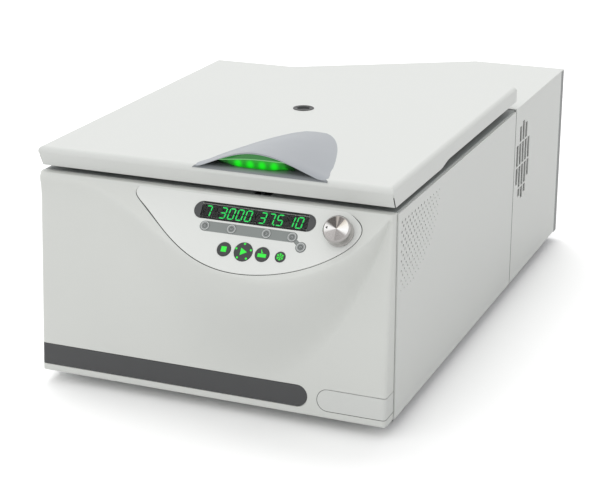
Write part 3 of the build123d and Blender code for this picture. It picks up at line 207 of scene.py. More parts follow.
# ---------------------------------------------------------------- front cover
# One ABS moulding, 3 mm thick, whose upper half swells into the sloping control pod. The pod's crease
# fades out to the left. The cover hooks on the base plate and is screwed to the deck from inside.
cover_low, cover_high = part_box("front_cover")
seam_y = cover_high.y
deck_top = cover_high.z
cover_half = cover_high.x / mm
cover_tall = (cover_high.z - cover_low.z) / mm
cover_set = 9.3                 # millimetres from here on: the cover's top edge before the seam
cover_lean = 15.9 / cover_tall
cover_corner = 4.0
cover_wall = 3.0
tilt = math.radians(38.0)
crease_reach, crease_middle = 87.0, 65.0
crease_fade = 220.0             # how far left of its middle the crease takes to fade
crease_least = 0.08             # what stays of it there, as a share
belly_reach, belly_middle = 196.0, 35.0
belly_fade = 270.0
side_margin = 2.5               # between the end of the swelling and the cover's side


def crease(x):
    """Reach of the pod's crease down the sloping panel. The powers set how full its curve is."""
    if x < crease_middle:
        u = (crease_middle - x) / crease_fade
        return crease_reach * (crease_least + (1 - crease_least) * max(1.0 - u ** 2, 0.0) ** 1.9)
    u = (x - crease_middle) / (cover_half - side_margin - crease_middle)
    return crease_reach * max(1.0 - u ** 2.2, 0.0) ** 0.75


def belly(x):
    """Reach of the pod's belly down the cover, in the same way."""
    if x < belly_middle:
        return belly_reach * (1.0 - ((belly_middle - x) / belly_fade) ** 2)
    u = (x - belly_middle) / (cover_half - side_margin - belly_middle)
    return belly_reach * max(1.0 - u ** 2.5, 0.0) ** 0.9


def plain_front(down):
    return -cover_set - cover_lean * down


def hermite(t, start, end, start_slope, end_slope, run):
    """A cubic between two values, with its slopes, over a run."""
    return ((2 * t ** 3 - 3 * t ** 2 + 1) * start + (t ** 3 - 2 * t ** 2 + t) * run * start_slope
            + (3 * t ** 2 - 2 * t ** 3) * end + (t ** 3 - t ** 2) * run * end_slope)


def cover_section(x):
    """One upright line down the cover's face: forward of the seam and below the deck's top."""
    least_reach, least_drop = 2.5, 6.0
    nose_round, nose_share = 3.0, 0.4           # how far before the crease its rounding starts
    under_round, under_share = 7.0, 0.3         # and how far below it the rounding ends
    under_slope = 0.25
    foot_round, foot_small = 1.4, 0.4
    panel_steps, nose_steps, belly_steps, foot_steps = 21, 9, 44, 28
    reach = max(crease(x), least_reach)
    nose = (-cover_set - reach * math.sin(tilt), -reach * math.cos(tilt))
    foot = max(belly(x), -nose[1] + least_drop)
    drop = foot + nose[1]
    panel_stop = reach - min(nose_round, nose_share * reach)
    belly_start = min(under_round / drop, under_share)

    def under(t):
        return (hermite(t, nose[0], plain_front(foot), under_slope, -cover_lean, drop), nose[1] - drop * t)

    # The top edge is rounded, then come the panel, the rounded crease, the belly and the plain front.
    line = [(0.0, 0.0), (-cover_set + 1.0, 0.0), (-cover_set + 0.1, -0.15), (-cover_set - 0.4, -0.5)]
    edge = 1.2
    for i in range(panel_steps + 1):
        s = edge + (panel_stop - edge) * i / panel_steps
        line.append((-cover_set - s * math.sin(tilt), -s * math.cos(tilt)))
    start, end = line[-1], under(belly_start)
    for i in range(1, nose_steps):
        t = i / nose_steps
        line.append(tuple((1 - t) ** 2 * a + 2 * t * (1 - t) * n + t ** 2 * b
                          for a, n, b in zip(start, nose, end)))
    for i in range(belly_steps + 1):
        line.append(under(belly_start + (1 - belly_start) * i / belly_steps))
    for i in range(1, foot_steps + 1):
        down = foot + (cover_tall - foot_round - foot) * i / foot_steps
        line.append((plain_front(down), -down))
    line.append((plain_front(cover_tall) + foot_small, -cover_tall + foot_small))
    line.append((plain_front(cover_tall) + foot_round, -cover_tall))
    line.append((0.0, -cover_tall))
    return line


corner_turns = [math.radians(15 * i) for i in range(1, 7)]


def cover_columns():
    """Where the upright lines stand: across, and how far the rounded corner sets them back."""
    flat = cover_half - cover_corner
    flat_steps = 150
    bend = [(flat + cover_corner * math.sin(a), cover_corner * (1 - math.cos(a))) for a in corner_turns]
    middle = [(-flat + 2 * flat * i / flat_steps, 0.0) for i in range(flat_steps + 1)]
    # Closer lines at the right, where the belly ends steeply.
    close = [(flat - 5.0 + i, 0.0) for i in range(5)]
    middle = sorted(set(middle + close))
    return [(-x, back) for x, back in reversed(bend)] + middle + bend


points = []
columns = cover_columns()
columns = [(columns[0][0], None)] + columns + [(columns[-1][0], None)]
for x, back in columns:
    inner = max(min(x, cover_half - cover_corner), cover_corner - cover_half)
    for y, z in cover_section(inner):
        y = 0.0 if back is None else min(y + back, 0.0)
        points.append((x * mm, seam_y + y * mm, deck_top + z * mm))
rows = len(points) // len(columns)
faces = []
for c in range(len(columns) - 1):
    for row in range(rows - 1):
        a = c * rows + row
        faces.append((a, a + 1, a + rows + 1, a + rows))


def mend(mesh, merge=0.0, close=False):
    """Merge a mesh's points within a distance, or close its holes and turn its faces outwards, or both."""
    form = bmesh.new()
    form.from_mesh(mesh)
    if merge:
        bmesh.ops.remove_doubles(form, verts=form.verts, dist=merge)
        bmesh.ops.dissolve_degenerate(form, edges=form.edges, dist=merge)
    if close:
        bmesh.ops.holes_fill(form, edges=form.edges, sides=0)
        bmesh.ops.recalc_face_normals(form, faces=form.faces)
    form.to_mesh(mesh)
    form.free()


def finished(thing, smooth=None):
    """Replace an object's mesh by its evaluated one, with doubles merged and its modifiers gone."""
    bpy.context.view_layer.update()
    mesh = bpy.data.meshes.new_from_object(thing.evaluated_get(bpy.context.evaluated_depsgraph_get()))
    mend(mesh, merge=0.000005)
    thing.modifiers.clear()
    thing.data = mesh
    if smooth:
        smoothed(mesh, smooth)


# Panel places: across, down the slope and out of the face, in millimetres.
panel = Matrix(((1, 0, 0, 0), (0, math.sin(tilt), -math.cos(tilt), seam_y - cover_set * mm),
                (0, math.cos(tilt), math.sin(tilt), deck_top), (0, 0, 0, 1)))


def prism(outline, low, high, base=0):
    """Points and faces of an upright prism over an outline, in millimetres."""
    count = len(outline)
    top = base + count
    corners = [(x, y, z) for z in (low, high) for x, y in outline]
    sides = [(base + i, base + (i + 1) % count, top + (i + 1) % count, top + i) for i in range(count)]
    return corners, sides + [tuple(reversed(range(base, top))), tuple(range(top, top + count))]


def panel_piece(name, prisms, finish=None):
    """A piece made of prisms (outline, low, high) laid on the control panel."""
    corners, sides = [], []
    for outline, low, high in prisms:
        more, around = prism(outline, low, high, len(corners))
        corners = corners + more
        sides = sides + around
    places = [panel @ Vector((x * mm, y * mm, z * mm)) for x, y, z in corners]
    return shape(name, places, sides, finish)


def arc(x, y, radius, start, sweep, steps):
    """Points along an arc, with both its ends."""
    turns = [start + sweep * i / steps for i in range(steps + 1)]
    return [(x + radius * math.cos(a), y + radius * math.sin(a)) for a in turns]


def circle(x, y, radius, steps=48):
    return arc(x, y, radius, 0.0, 2 * math.pi, steps)[:-1]


def pill(left, right, middle, radius):
    """An outline with round ends."""
    return (arc(right - radius, middle, radius, -math.pi / 2, math.pi, 16)
            + arc(left + radius, middle, radius, math.pi / 2, math.pi, 16))


def rectangle(left, low, right, high):
    return [(left, low), (right, low), (right, high), (left, high)]


def hull(flat):
    """The convex outline of points, anticlockwise."""
    flat = sorted(set(flat))

    def half(run):
        out = []
        for p in run:
            while len(out) > 1 and ((out[-1][0] - out[-2][0]) * (p[1] - out[-2][1])
                                    - (out[-1][1] - out[-2][1]) * (p[0] - out[-2][0])) <= 0:
                out.pop()
            out.append(p)
        return out[:-1]

    return half(flat) + half(flat[::-1])


def grown(outline, distance):
    """A convex outline moved outwards."""
    count = len(outline)
    out = []
    for i, (x, y) in enumerate(outline):
        before, after = outline[i - 1], outline[(i + 1) % count]
        a = Vector((x - before[0], y - before[1])).normalized()
        b = Vector((after[0] - x, after[1] - y)).normalized()
        away = Vector((a.y + b.y, -a.x - b.x)).normalized()
        share = max(away.dot(Vector((a.y, -a.x))), 0.3)     # keeps a sharp corner from shooting out
        out.append((x + away.x * distance / share, y + away.y * distance / share))
    return out


to_panel = panel.inverted()


def extent(node, place):
    """The lowest and highest corner of a CAD node in the axes of a matrix, in millimetres."""
    places = [place @ v.co for v in nodes[node].data.vertices]
    return [[pick(p[i] for p in places) / mm for i in range(3)] for pick in (min, max)]


def panel_middle(node):
    """Middle of a round CAD control on the panel, and its radius, in millimetres."""
    low, high = extent(node, to_panel)
    return (low[0] + high[0]) / 2, (low[1] + high[1]) / 2, (high[0] - low[0]) / 2


keypad_gap = 0.9
button_gap = 0.3
buttons = ("stop_button", "start_button", "lid_button", "cool_button")
keys = ("program_key", "speed_key", "time_key", "temperature_key", "mode_key")
film_flat = [to_panel @ v.co for v in nodes["keypad_overlay"].data.vertices]
film_edge = hull([(round(p.x / mm, 3), round(p.y / mm, 3)) for p in film_flat])
pane_low, pane_high = extent("display_window", to_panel)
pane_middle = (pane_low[1] + pane_high[1]) / 2
pane_radius = (pane_high[1] - pane_low[1]) / 2

# The bed's open edge narrows to nothing along the film's top, between these depths down the panel.
edge_closed = 3.5
edge_open = 11.0


def bed_edge(inset):
    """The film's outline, moved out to the edge of its bed."""
    wide = grown(film_edge, keypad_gap - inset)
    close = grown(film_edge, 0.02)
    shares = [min(max((-y - edge_closed) / (edge_open - edge_closed), 0.0), 1.0) for x, y in film_edge]
    return [(a[0] * t + b[0] * (1 - t), a[1] * t + b[1] * (1 - t)) for a, b, t in zip(wide, close, shares)]


film_bed = 1.5                  # the bed's depth in the cover
through = (-12.0, 25.0)         # heights that pass through the cover's whole wall
spindle_hole = 3.8
pane_ledge, pane_end = 2.5, 4.0     # what the cover leaves under the pane's edge and ends
cutters = [panel_piece("cut film", [(bed_edge(0.0), -film_bed, 20.0)])]
for control in buttons + keys:
    x, y, radius = panel_middle(control)
    cutters.append(panel_piece("cut " + control, [(circle(x, y, radius + button_gap), *through)]))
knob_x, knob_y, knob_radius = panel_middle("speed_knob")
cutters.append(panel_piece("cut spindle", [(circle(knob_x, knob_y, spindle_hole), *through)]))
pane_hole = pill(pane_low[0] + pane_end, pane_high[0] - pane_end, pane_middle, pane_radius - pane_ledge)
cutters.append(panel_piece("cut pane", [(pane_hole, *through)]))


def trim_cutter(name, node, gap, depth):
    """The bed of a trim: a ribbon just under the cover's face, with a round end, that turns the corner."""
    low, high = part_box(node)
    side = -1 if abs(low.x) > abs(high.x) else 1
    bottom = (low.z - deck_top) / mm - gap
    top = (high.z - deck_top) / mm + gap
    tip = (high.x if side < 0 else low.x) / mm - side * gap
    radius = (top - bottom) / 2
    clear = 3.0                 # how far the ribbon stands out of the face
    tip_steps, least_half = 14, 0.05
    # Each place on the ribbon's way: across, forward, the way it faces, and half its height.
    path = [(side * cover_half, y, side, 0.0, radius) for y in (clear, -cover_set - 8.0)]
    for a in corner_turns:
        path.append((side * (cover_half - cover_corner * (1 - math.cos(a))), -cover_corner * math.sin(a),
                     side * math.cos(a), -math.sin(a), radius))
    end = tip + side * radius
    for i in range(tip_steps + 1):
        a = math.pi / 2 * i / tip_steps
        half = max(radius * math.cos(a), least_half)
        path.append((end - side * radius * math.sin(a), None, 0.0, -1.0, half))
    middle = (top + bottom) / 2
    corners = []
    for x, y, out_x, out_y, half in path:
        for z, out in rectangle(middle - half, clear, middle + half, -depth):
            face_y = plain_front(-z)
            if y is None:
                base_y = face_y
            elif y >= 0 or out_y == 0.0:
                base_y = y
            else:
                base_y = face_y + cover_corner + y
            if out_y == 0.0 and y < 0:
                base_y = face_y + cover_corner
            forward = seam_y + (base_y + out_y * out) * mm
            corners.append(((x + out_x * out) * mm, forward, deck_top + z * mm))
    sides = [(0, 1, 2, 3)]
    for i in range(len(path) - 1):
        for k in range(4):
            a, b = 4 * i + k, 4 * i + (k + 1) % 4
            sides.append((a, a + 4, b + 4, b))
    last = 4 * (len(path) - 1)
    sides.append((last + 3, last + 2, last + 1, last))
    ribbon = shape(name, corners, sides)
    mend(ribbon.data, close=True)
    return ribbon


trim_gap, trim_bed = 0.6, 1.3
cutters.append(trim_cutter("cut band bed", "front_band", trim_gap, trim_bed))
cutters.append(trim_cutter("cut corner bed", "corner_trim", trim_gap, trim_bed))
# Dark contact adhesive fills the corner trim's bed and shows as a fine line around it: painted shade.
adhesive = surface("dark contact adhesive", "#3d3f3f", 0.7, grain=0.8, depth=0.02, mottle=0.04, patch=3)
cutters[-1].data.materials.append(adhesive)

# Moulded ABS: semi-matt from a spark-eroded tool, with a grain of about 0.9 mm and an even grey-white.
abs_white = surface("moulded white ABS", "#dbddd9", 0.40, grain=0.9, depth=0.010, mottle=0.006, patch=80)
cover = shape("front_cover_shell", points, faces, abs_white)
wall = cover.modifiers.new("wall", "SOLIDIFY")
wall.thickness = cover_wall * mm
wall.offset = -1.0
cover_parts = bpy.data.collections.new("cover cutters")
for cutter in cutters:
    scene.collection.objects.unlink(cutter)
    cover_parts.objects.link(cutter)
scene.collection.children.link(cover_parts)
cut = cover.modifiers.new("cuts", "BOOLEAN")
cut.operand_type = "COLLECTION"
cut.collection = cover_parts
cut.solver = "EXACT"
cut.material_mode = "TRANSFER"
finished(cover, smooth=28)
for cutter in cutters:
    bpy.data.objects.remove(cutter)
bpy.data.collections.remove(cover_parts)


def carry(piece, body, slot, *replaced):
    """Hand a piece to its body and hide the nodes it stands for. The slot argument is not used."""
    if replaced:
        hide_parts(*replaced)
    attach(piece, body)
    return piece


carry(cover, "case", "front_cover", "front_cover")

# ---------------------------------------------------------------- seam seals
# Strips of closed-cell foam in the joints between the front cover, the side panels and the rear hood.
# They keep dust out and hide the joint's depth: each lies just below the skin and shows as a dark line,
# which is painted shade in place of the joint's own.
# Closed-cell foam: dull and almost black, with open bubbles of about 0.6 mm on its cut face.
seam_shade_foam = surface("black closed-cell foam", "#202121", 0.85, grain=0.6, depth=0.05, mottle=0.05, patch=3)
seal_depth, seal_thickness, seal_end = 0.1, 0.9, 1.0
seal_points, seal_faces = [], []
case_axes = Matrix()
cover_end = extent("front_cover", case_axes)[1]
hood_start, hood_end = extent("rear_hood", case_axes)
for side_name, hand in (("left_side_panel", -1), ("right_side_panel", 1)):
    low, high = extent(side_name, case_axes)
    seams = ((cover_end[1], low[1], cover_end[0]), (high[1], hood_start[1], hood_end[0]))
    for seam_start, seam_end, skin in seams:
        near, deep = hand * (skin - seal_depth), hand * (skin - seal_depth - seal_thickness)
        outline = [(near, seam_start), (near, seam_end), (deep, seam_end), (deep, seam_start)]
        more, around = prism(outline, low[2] + seal_end, high[2] - seal_end, len(seal_points))
        seal_points = seal_points + more
        seal_faces = seal_faces + around
seals = shape("seam_seals", [Vector(p) * mm for p in seal_points], seal_faces, seam_shade_foam)
mend(seals.data, close=True)
carry(seals, "case", "right_side_panel")

# ---------------------------------------------------------------- band and corner trim
# Two thin strips let into the cover's foot and turned round its corners, each stuck in its bed:
# a dark grey one over most of the width and one in the cover's white at the right.
# Printed polyester strip: satin, with a very fine leather-like grain of 0.7 mm.
dark_strip = surface("dark grey polyester strip", "#4b4c4d", 0.38, grain=0.7, depth=0.008,
                     mottle=0.015, patch=25)
white_strip = surface("white polyester strip", "#d9dbd8", 0.38, grain=0.7, depth=0.006,
                      mottle=0.006, patch=60)
dress(dark_strip, "front_band")
dress(white_strip, "corner_trim")

# ---------------------------------------------------------------- keypad film
# A polyester film stuck in a shallow bed on the pod. A grey strip and five light rings are
# printed on it round the selector keys.
# Keypad film: reverse-printed polyester, paler than the cover, with a fine satin grain of 0.5 mm.
film = surface("satin polyester film", "#e6e8e5", 0.34, grain=0.5, depth=0.006, mottle=0.006, patch=40)
dress(film, "keypad_overlay")
# Black foam tape holds the film in its bed and shows as a dark line in the gap around it: painted shade.
tape = surface("black foam tape", "#3a3c3c", 0.8, grain=0.6, depth=0.05, mottle=0.05, patch=3)
tape_low, tape_high = -1.48, -1.22
outer, inner = bed_edge(0.06), grown(film_edge, -2.0)
tape_strips = [([inner[i - 1], outer[i - 1], outer[i], inner[i]][::-1], tape_low, tape_high)
               for i in range(len(outer))]
carry(panel_piece("film_tape", tape_strips, tape), "case", "keypad_overlay")
# Printing ink: flat and slightly rough, in three greys.
grey_ink = surface("grey screen ink", "#8b908e", 0.55, grain=0.4, depth=0.003, mottle=0.015, patch=12)
pale_ink = surface("pale screen ink", "#c9cccb", 0.55, mottle=0.01, patch=12)
dark_ink = surface("dark screen ink", "#626665", 0.55, mottle=0.02, patch=12)

strip_half = 5.5
strip_end = 0.5                 # how much further the strip's round ends reach
print_height = 0.06
printed = (-0.01, print_height)     # ink lies a hair in the film and a hair out of it
ring_wide = 0.9


def band_ring(x, y, inner, outer, low, high, steps=48):
    """Quads of a flat ring, as one prism for each step."""
    near, far = (arc(x, y, radius, 0.0, 2 * math.pi, steps) for radius in (inner, outer))
    return [([near[i], far[i], far[i + 1], near[i + 1]], low, high) for i in range(steps)]


def straight_bar(start, way, end, half):
    """The outline of a straight bar between two points, along a unit vector."""
    across = Vector((-way.y, way.x)) * half
    return [tuple(start - across), tuple(end - across), tuple(end + across), tuple(start + across)]


# The strip runs round the four keys of the row, between them, and by a neck to the fifth key's ring.
key_places = [panel_middle(key) for key in keys]
last, fifth = key_places[3], key_places[4]
row_y = sum(place[1] for place in key_places[:4]) / 4
strip = []
for i, (x, y, radius) in enumerate(key_places[:4]):
    inner = radius + button_gap
    for t in range(32):
        turns = (math.pi * t / 16, math.pi * (t + 1) / 16)
        hole = [(x + inner * math.cos(v), y + inner * math.sin(v)) for v in turns]
        outward = (i == 0 and 8 <= t < 24) or (i == 3 and (t < 8 or t >= 24))
        if outward:
            edge = [(x + (strip_half + strip_end) * math.cos(v), row_y + strip_half * math.sin(v))
                    for v in turns]
        else:
            edge = [(u, row_y + strip_half * (1 if t < 16 else -1)) for u, v in hole]
        strip.append(([hole[0], edge[0], edge[1], hole[1]], *printed))
for here, there in zip(key_places[:3], key_places[1:4]):
    start, end = here[0] + here[2] + button_gap, there[0] - there[2] - button_gap
    strip.append((rectangle(start, row_y - strip_half, end, row_y + strip_half), *printed))
neck_half, neck_gap = 2.2, 0.4
neck = Vector((fifth[0] - last[0], fifth[1] - last[1])).normalized()
near = Vector(last[:2]) + neck * (last[2] + neck_gap)
far = Vector(fifth[:2]) - neck * (fifth[2] + neck_gap)
strip.append((straight_bar(near, neck, far, neck_half), printed[0], print_height * 0.9))
strip = strip + band_ring(fifth[0], fifth[1], fifth[2] + button_gap, fifth[2] + 1.0, *printed)
carry(panel_piece("key_strip_print", strip, grey_ink), "case", "keypad_overlay")

# ---------------------------------------------------------------- selector keys
# Five round keys of grey polyester over domes, each with a pale printed ring and a dark symbol:
# a hand on a dial, turned differently for each setting.
# Moulded polyester: satin, in a mid grey, with a fine grain of 0.5 mm.
grey_key = surface("grey moulded key", "#8e9291", 0.42, grain=0.5, depth=0.006, mottle=0.02, patch=6)
dress(grey_key, *keys)
key_top = 0.6
key_print = (key_top - 0.05, key_top + print_height)
dial_inner, dial_outer, hand_long, hand_half = 1.7, 2.5, 2.6, 0.28
for index, (key, (x, y, radius)) in enumerate(zip(keys, key_places)):
    marks = band_ring(x, y, radius - ring_wide, radius - 0.1, *key_print)
    carry(panel_piece(key + "_ring", marks, pale_ink), key, key)
    dial = band_ring(x, y, dial_inner, dial_outer, *key_print, steps=24)
    turn = math.radians(40 + 65 * index)
    hand = Vector((math.cos(turn), math.sin(turn)))
    middle = Vector((x, y))
    dial.append((straight_bar(middle, hand, middle + hand * hand_long, hand_half), *key_print))
    carry(panel_piece(key + "_symbol", dial, dark_ink), key, key)

# ---------------------------------------------------------------- push buttons
# Four dark ABS buttons with a soft gloss. Their symbols are clear windows lit from behind by
# green lamps: a square, an arrow with five dots, an opening lid and a snowflake.
# Moulded ABS: dark and a little glossier than the cover, with a grain of 0.6 mm.
dark_abs = surface("dark moulded ABS", "#3c3e3e", 0.30, grain=0.6, depth=0.006, mottle=0.02, patch=8)
dress(dark_abs, *buttons)


def glow(name, colour, strength, roughness=0.35):
    """A lit plastic: a deep tint and an even light of its own colour."""
    made = surface(name, "#123016", roughness, mottle=0.05, patch=3)
    shader = made.node_tree.nodes["Principled BSDF"]
    shader.inputs["Emission Color"].default_value = linear(colour)
    shader.inputs["Emission Strength"].default_value = strength
    return made


# Lit window: clear acrylic flush with the cap, filled with a slightly uneven green light.
lit_green = glow("green lit acrylic", "#2df03c", 1.0)
button_top = 0.6
window = (button_top - 0.15, button_top + 0.05)


def turned(outline, x, y, angle=0.0):
    """An outline turned and moved to a place."""
    c, s = math.cos(angle), math.sin(angle)
    return [(x + c * u - s * v, y + s * u + c * v) for u, v in outline]


def symbol(button, outlines):
    """The lit windows of a button, as outlines about its middle."""
    x, y, radius = panel_middle(button)
    prisms = [(turned(outline, x, y), *window) for outline in outlines]
    carry(panel_piece(button + "_symbol", prisms, lit_green), button, button)


symbol("stop_button", [rectangle(-2.9, -2.9, 2.9, 2.9)])
arrow = [(-2.9, -4.0), (4.3, 0.0), (-2.9, 4.0)]
dot_ring, dot_radius = 8.4, 1.15
dots = [circle(dot_ring * math.sin(a), dot_ring * math.cos(a), dot_radius, 16)
        for a in (2 * math.pi * i / 5 for i in range(5))]
symbol("start_button", [arrow] + dots)
tray = rectangle(-4.6, -3.2, 4.6, 0.6)
open_lid = [(-0.9, 0.9), (-0.2, 0.9), (-1.3, 5.0), (-2.0, 4.8)]
stay = [(0.5, 0.9), (1.2, 0.9), (-0.6, 3.2), (-1.1, 2.8)]
symbol("lid_button", [tray, open_lid, stay])
arm = [rectangle(-0.4, 0.7, 0.4, 4.0), [(0.0, 1.9), (1.5, 2.9), (1.1, 3.4), (0.0, 2.7)],
       [(0.0, 2.7), (-1.1, 3.4), (-1.5, 2.9), (0.0, 1.9)]]
symbol("cool_button", [turned(part, 0, 0, math.pi / 3 * i) for i in range(6) for part in arm])

# ---------------------------------------------------------------- display
# Green seven-segment digits behind a pane of smoked acrylic, whose round ends are masked from behind.
# The digits show a programme number, a speed, a temperature and a time.
# Smoked acrylic: clear, glossy and faintly grey through its thickness, with a barely visible ripple.
pane, tree, shader = blank("smoked acrylic")
place = add(tree, "ShaderNodeTexCoord").outputs["Object"]
ripple = add(tree, "ShaderNodeTexNoise", {"Vector": place, "Scale": 60.0, "Detail": 1.0})
depth = add(tree, "ShaderNodeMapRange", {"Value": ripple.outputs["Fac"], "To Min": 0.0, "To Max": 0.004})
tree.links.new(depth.outputs[0], shader.inputs["Roughness"])
shader.inputs["Base Color"].default_value = linear("#d2d3d2")
shader.inputs["Transmission Weight"].default_value = 1.0
shader.inputs["IOR"].default_value = 1.25
dress(pane, "display_window")

# The mask is flat black paint, the end prints are grey ink, and the digits are moulded light pipes:
# a lit one glows evenly in green, an unlit one is almost as dark as the mask.
black_mask = surface("black display mask", "#151616", 0.7, mottle=0.03, patch=5)
edge_mask = surface("grey printed mask", "#4a4b4c", 0.45, mottle=0.06, patch=5)
lit_digit = glow("green digit light", "#00e05c", 1.5)
dim_digit = surface("unlit digit plastic", "#171a18", 0.7, mottle=0.03, patch=2)
pane_left, pane_right = pane_low[0], pane_high[0]
mask_low, mask_high = -1.75, -1.58
digit_tall, digit_wide, digit_pitch = 12.7, 7.2, 9.4
stroke = 1.35
slant = math.tan(math.radians(8))
end_mask = 8.6
line_wide = 1.3                 # black line between the clear middle and each grey end
on_pane = (0.1, 0.16)
mask_half, mask_end = pane_radius - 0.6, 3.0
mask = rectangle(pane_left + mask_end, pane_middle - mask_half,
                 pane_right - mask_end, pane_middle + mask_half)
carry(panel_piece("display_mask", [(mask, mask_low, mask_high)], black_mask), "case", "control_board")
# Each end print is a round end, cut off straight by the black line.
ends = []
left_cut, right_cut = pane_left + end_mask - line_wide / 2, pane_right - end_mask + line_wide / 2
for x, turn, left, right in ((pane_left + pane_radius, math.pi / 2, pane_left, left_cut),
                             (pane_right - pane_radius, -math.pi / 2, right_cut, pane_right)):
    edge = arc(x, pane_middle, pane_radius - 0.2, turn, math.pi, 16)
    ends.append(([(min(max(u, left), right), v) for u, v in edge], *on_pane))
carry(panel_piece("display_end_prints", ends, edge_mask), "case", "display_window")
border_near, border_far = 7.4, pane_radius - 0.15
left, right = pane_left + pane_radius - 0.5, pane_right - pane_radius + 0.5
borders = [(rectangle(left, pane_middle - border_far, right, pane_middle - border_near), *on_pane),
           (rectangle(left, pane_middle + border_near, right, pane_middle + border_far), *on_pane)]
carry(panel_piece("display_border_prints", borders, black_mask), "case", "display_window")


def segment(index):
    """One bar of a digit, with pointed ends: 0 top, then clockwise, and 6 across the middle."""
    half = digit_wide / 2 - stroke / 2
    tall = digit_tall / 2 - stroke / 2
    spots = {0: (0, tall, 0), 1: (half, tall / 2, 1), 2: (half, -tall / 2, 1), 3: (0, -tall, 0),
             4: (-half, -tall / 2, 1), 5: (-half, tall / 2, 1), 6: (0, 0, 0)}
    x, y, upright = spots[index]
    reach = (tall / 2 if upright else half) - 0.25
    w = stroke / 2
    bar = [(-reach, 0), (-reach + w, -w), (reach - w, -w), (reach, 0), (reach - w, w), (-reach + w, w)]
    if upright:
        bar = [(-v, u) for u, v in bar]
    return [(x + u + slant * (y + v), y + v) for u, v in bar]


lit_bars = {"0": (0, 1, 2, 3, 4, 5), "1": (1, 2), "3": (0, 1, 2, 3, 6), "5": (0, 2, 3, 5, 6),
            "7": (0, 1, 2)}
third_group = 64.6
readout = ((3.6, "7"), (20.5, "3000"), (third_group, "375"), (95.6, "10"))
digit_row = pane_middle - 0.6
light_low, light_high = mask_high - 0.02, mask_high + 0.06
lit, unlit = [], []
for start, digits in readout:
    for i, digit in enumerate(digits):
        for bar in range(7):
            outline = turned(segment(bar), start + i * digit_pitch, digit_row)
            (lit if bar in lit_bars[digit] else unlit).append((outline, light_low, light_high))
# The decimal point stands between the third group's second and third digits.
point_x = third_group + 1.5 * digit_pitch - 0.9
lit.append((circle(point_x, digit_row - digit_tall / 2 + 0.8, 0.85, 16), light_low, light_high))
carry(panel_piece("lit_digits", lit, lit_digit), "case", "control_board")
carry(panel_piece("unlit_digits", unlit, dim_digit), "case", "control_board")

# ---------------------------------------------------------------- speed knob
# Turned from aluminium bar: a dished face with fine turning lines, a polished bevel and a straight
# skirt with one groove. It is pressed on the encoder's spindle. A short mark shows its position.
def lathe(name, profile, place, finish, steps=96, smooth=35):
    """A turned piece from (radius, height) points in millimetres, about an axis given by a matrix."""
    count = len(profile)
    corners, sides = [], []
    for i in range(steps):
        a = 2 * math.pi * i / steps
        corners += [place @ Vector((r * math.cos(a) * mm, r * math.sin(a) * mm, h * mm))
                    for r, h in profile]
        for k in range(count - 1):
            a, b = i * count + k, ((i + 1) % steps) * count + k
            sides.append((a, b, b + 1, a + 1))
    made = shape(name, corners, sides, finish)
    mend(made.data, merge=0.000002, close=True)
    smoothed(made.data, smooth)
    return made


# Turned aluminium: metallic, brushed in circles about 0.35 mm apart. Its pale and dark sectors, which
# spread out from the middle, are painted into its colour by angle: painted reflection.
knob_place = panel @ Matrix.Translation((knob_x * mm, knob_y * mm, 0))
turning = 0.35 * mm
turned_metal, tree, shader = blank("turned aluminium")
place = add(tree, "ShaderNodeTexCoord").outputs["Object"]
away = add(tree, "ShaderNodeVectorMath", {0: place, 1: knob_place.translation}, operation="SUBTRACT")
rotate = add(tree, "ShaderNodeVectorRotate", {"Vector": away.outputs[0], "Axis": (1, 0, 0),
                                              "Angle": -(math.pi / 2 - tilt)}, rotation_type="AXIS_ANGLE")
axes = add(tree, "ShaderNodeSeparateXYZ", {0: rotate.outputs[0]})
angle = add(tree, "ShaderNodeMath", {0: axes.outputs[1], 1: axes.outputs[0]}, operation="ARCTAN2")
square_x, square_y = [add(tree, "ShaderNodeMath", {0: side, 1: side}, operation="MULTIPLY").outputs[0]
                      for side in axes.outputs[:2]]
lines = square_x
for operation, value in (("ADD", square_y), ("POWER", 0.5), ("MULTIPLY", 2 * math.pi / turning),
                         ("SINE", 0.0)):
    lines = add(tree, "ShaderNodeMath", {0: lines, 1: value}, operation=operation).outputs[0]
around = add(tree, "ShaderNodeMapRange", {"Value": angle.outputs[0], "From Min": -math.pi,
                                          "From Max": math.pi})
painted_reflection_ramp = add(tree, "ShaderNodeValToRGB", {"Fac": around.outputs[0]})
# Painted reflection, toned by angle: 0 degrees points right and 90 up the slope.
painted_sector_tones = ((-180, "#fbfaf9"), (-163, "#efedeb"), (-150, "#bdb9b7"), (-92, "#b7b3b1"), (-84, "#a09c9a"),
          (-32, "#aba7a5"), (-16, "#f4f3f1"), (0, "#ffffff"), (32, "#f8f4ec"), (54, "#dcd3c8"),
          (62, "#8f8a87"), (84, "#77726f"), (92, "#bbb5af"), (100, "#aaa39d"), (108, "#605c5a"),
          (148, "#696562"), (164, "#ebe9e7"), (180, "#fbfaf9"))
stops = painted_reflection_ramp.color_ramp.elements
while len(stops) < len(painted_sector_tones):
    stops.new(0.5)
for stop, (turn, tone) in zip(stops, painted_sector_tones):
    stop.position = (turn + 180) / 360
    stop.color = linear(tone)
tree.links.new(painted_reflection_ramp.outputs[0], shader.inputs["Base Color"])
shader.inputs["Metallic"].default_value = 1.0
shader.inputs["Anisotropic"].default_value = 0.5
rough = add(tree, "ShaderNodeMapRange", {"Value": lines, "From Min": -1.0, "From Max": 1.0,
                                         "To Min": 0.24, "To Max": 0.32})
tree.links.new(rough.outputs[0], shader.inputs["Roughness"])
relief = add(tree, "ShaderNodeBump", {"Height": lines, "Distance": 0.004 * mm, "Strength": 0.6})
tree.links.new(relief.outputs[0], shader.inputs["Normal"])

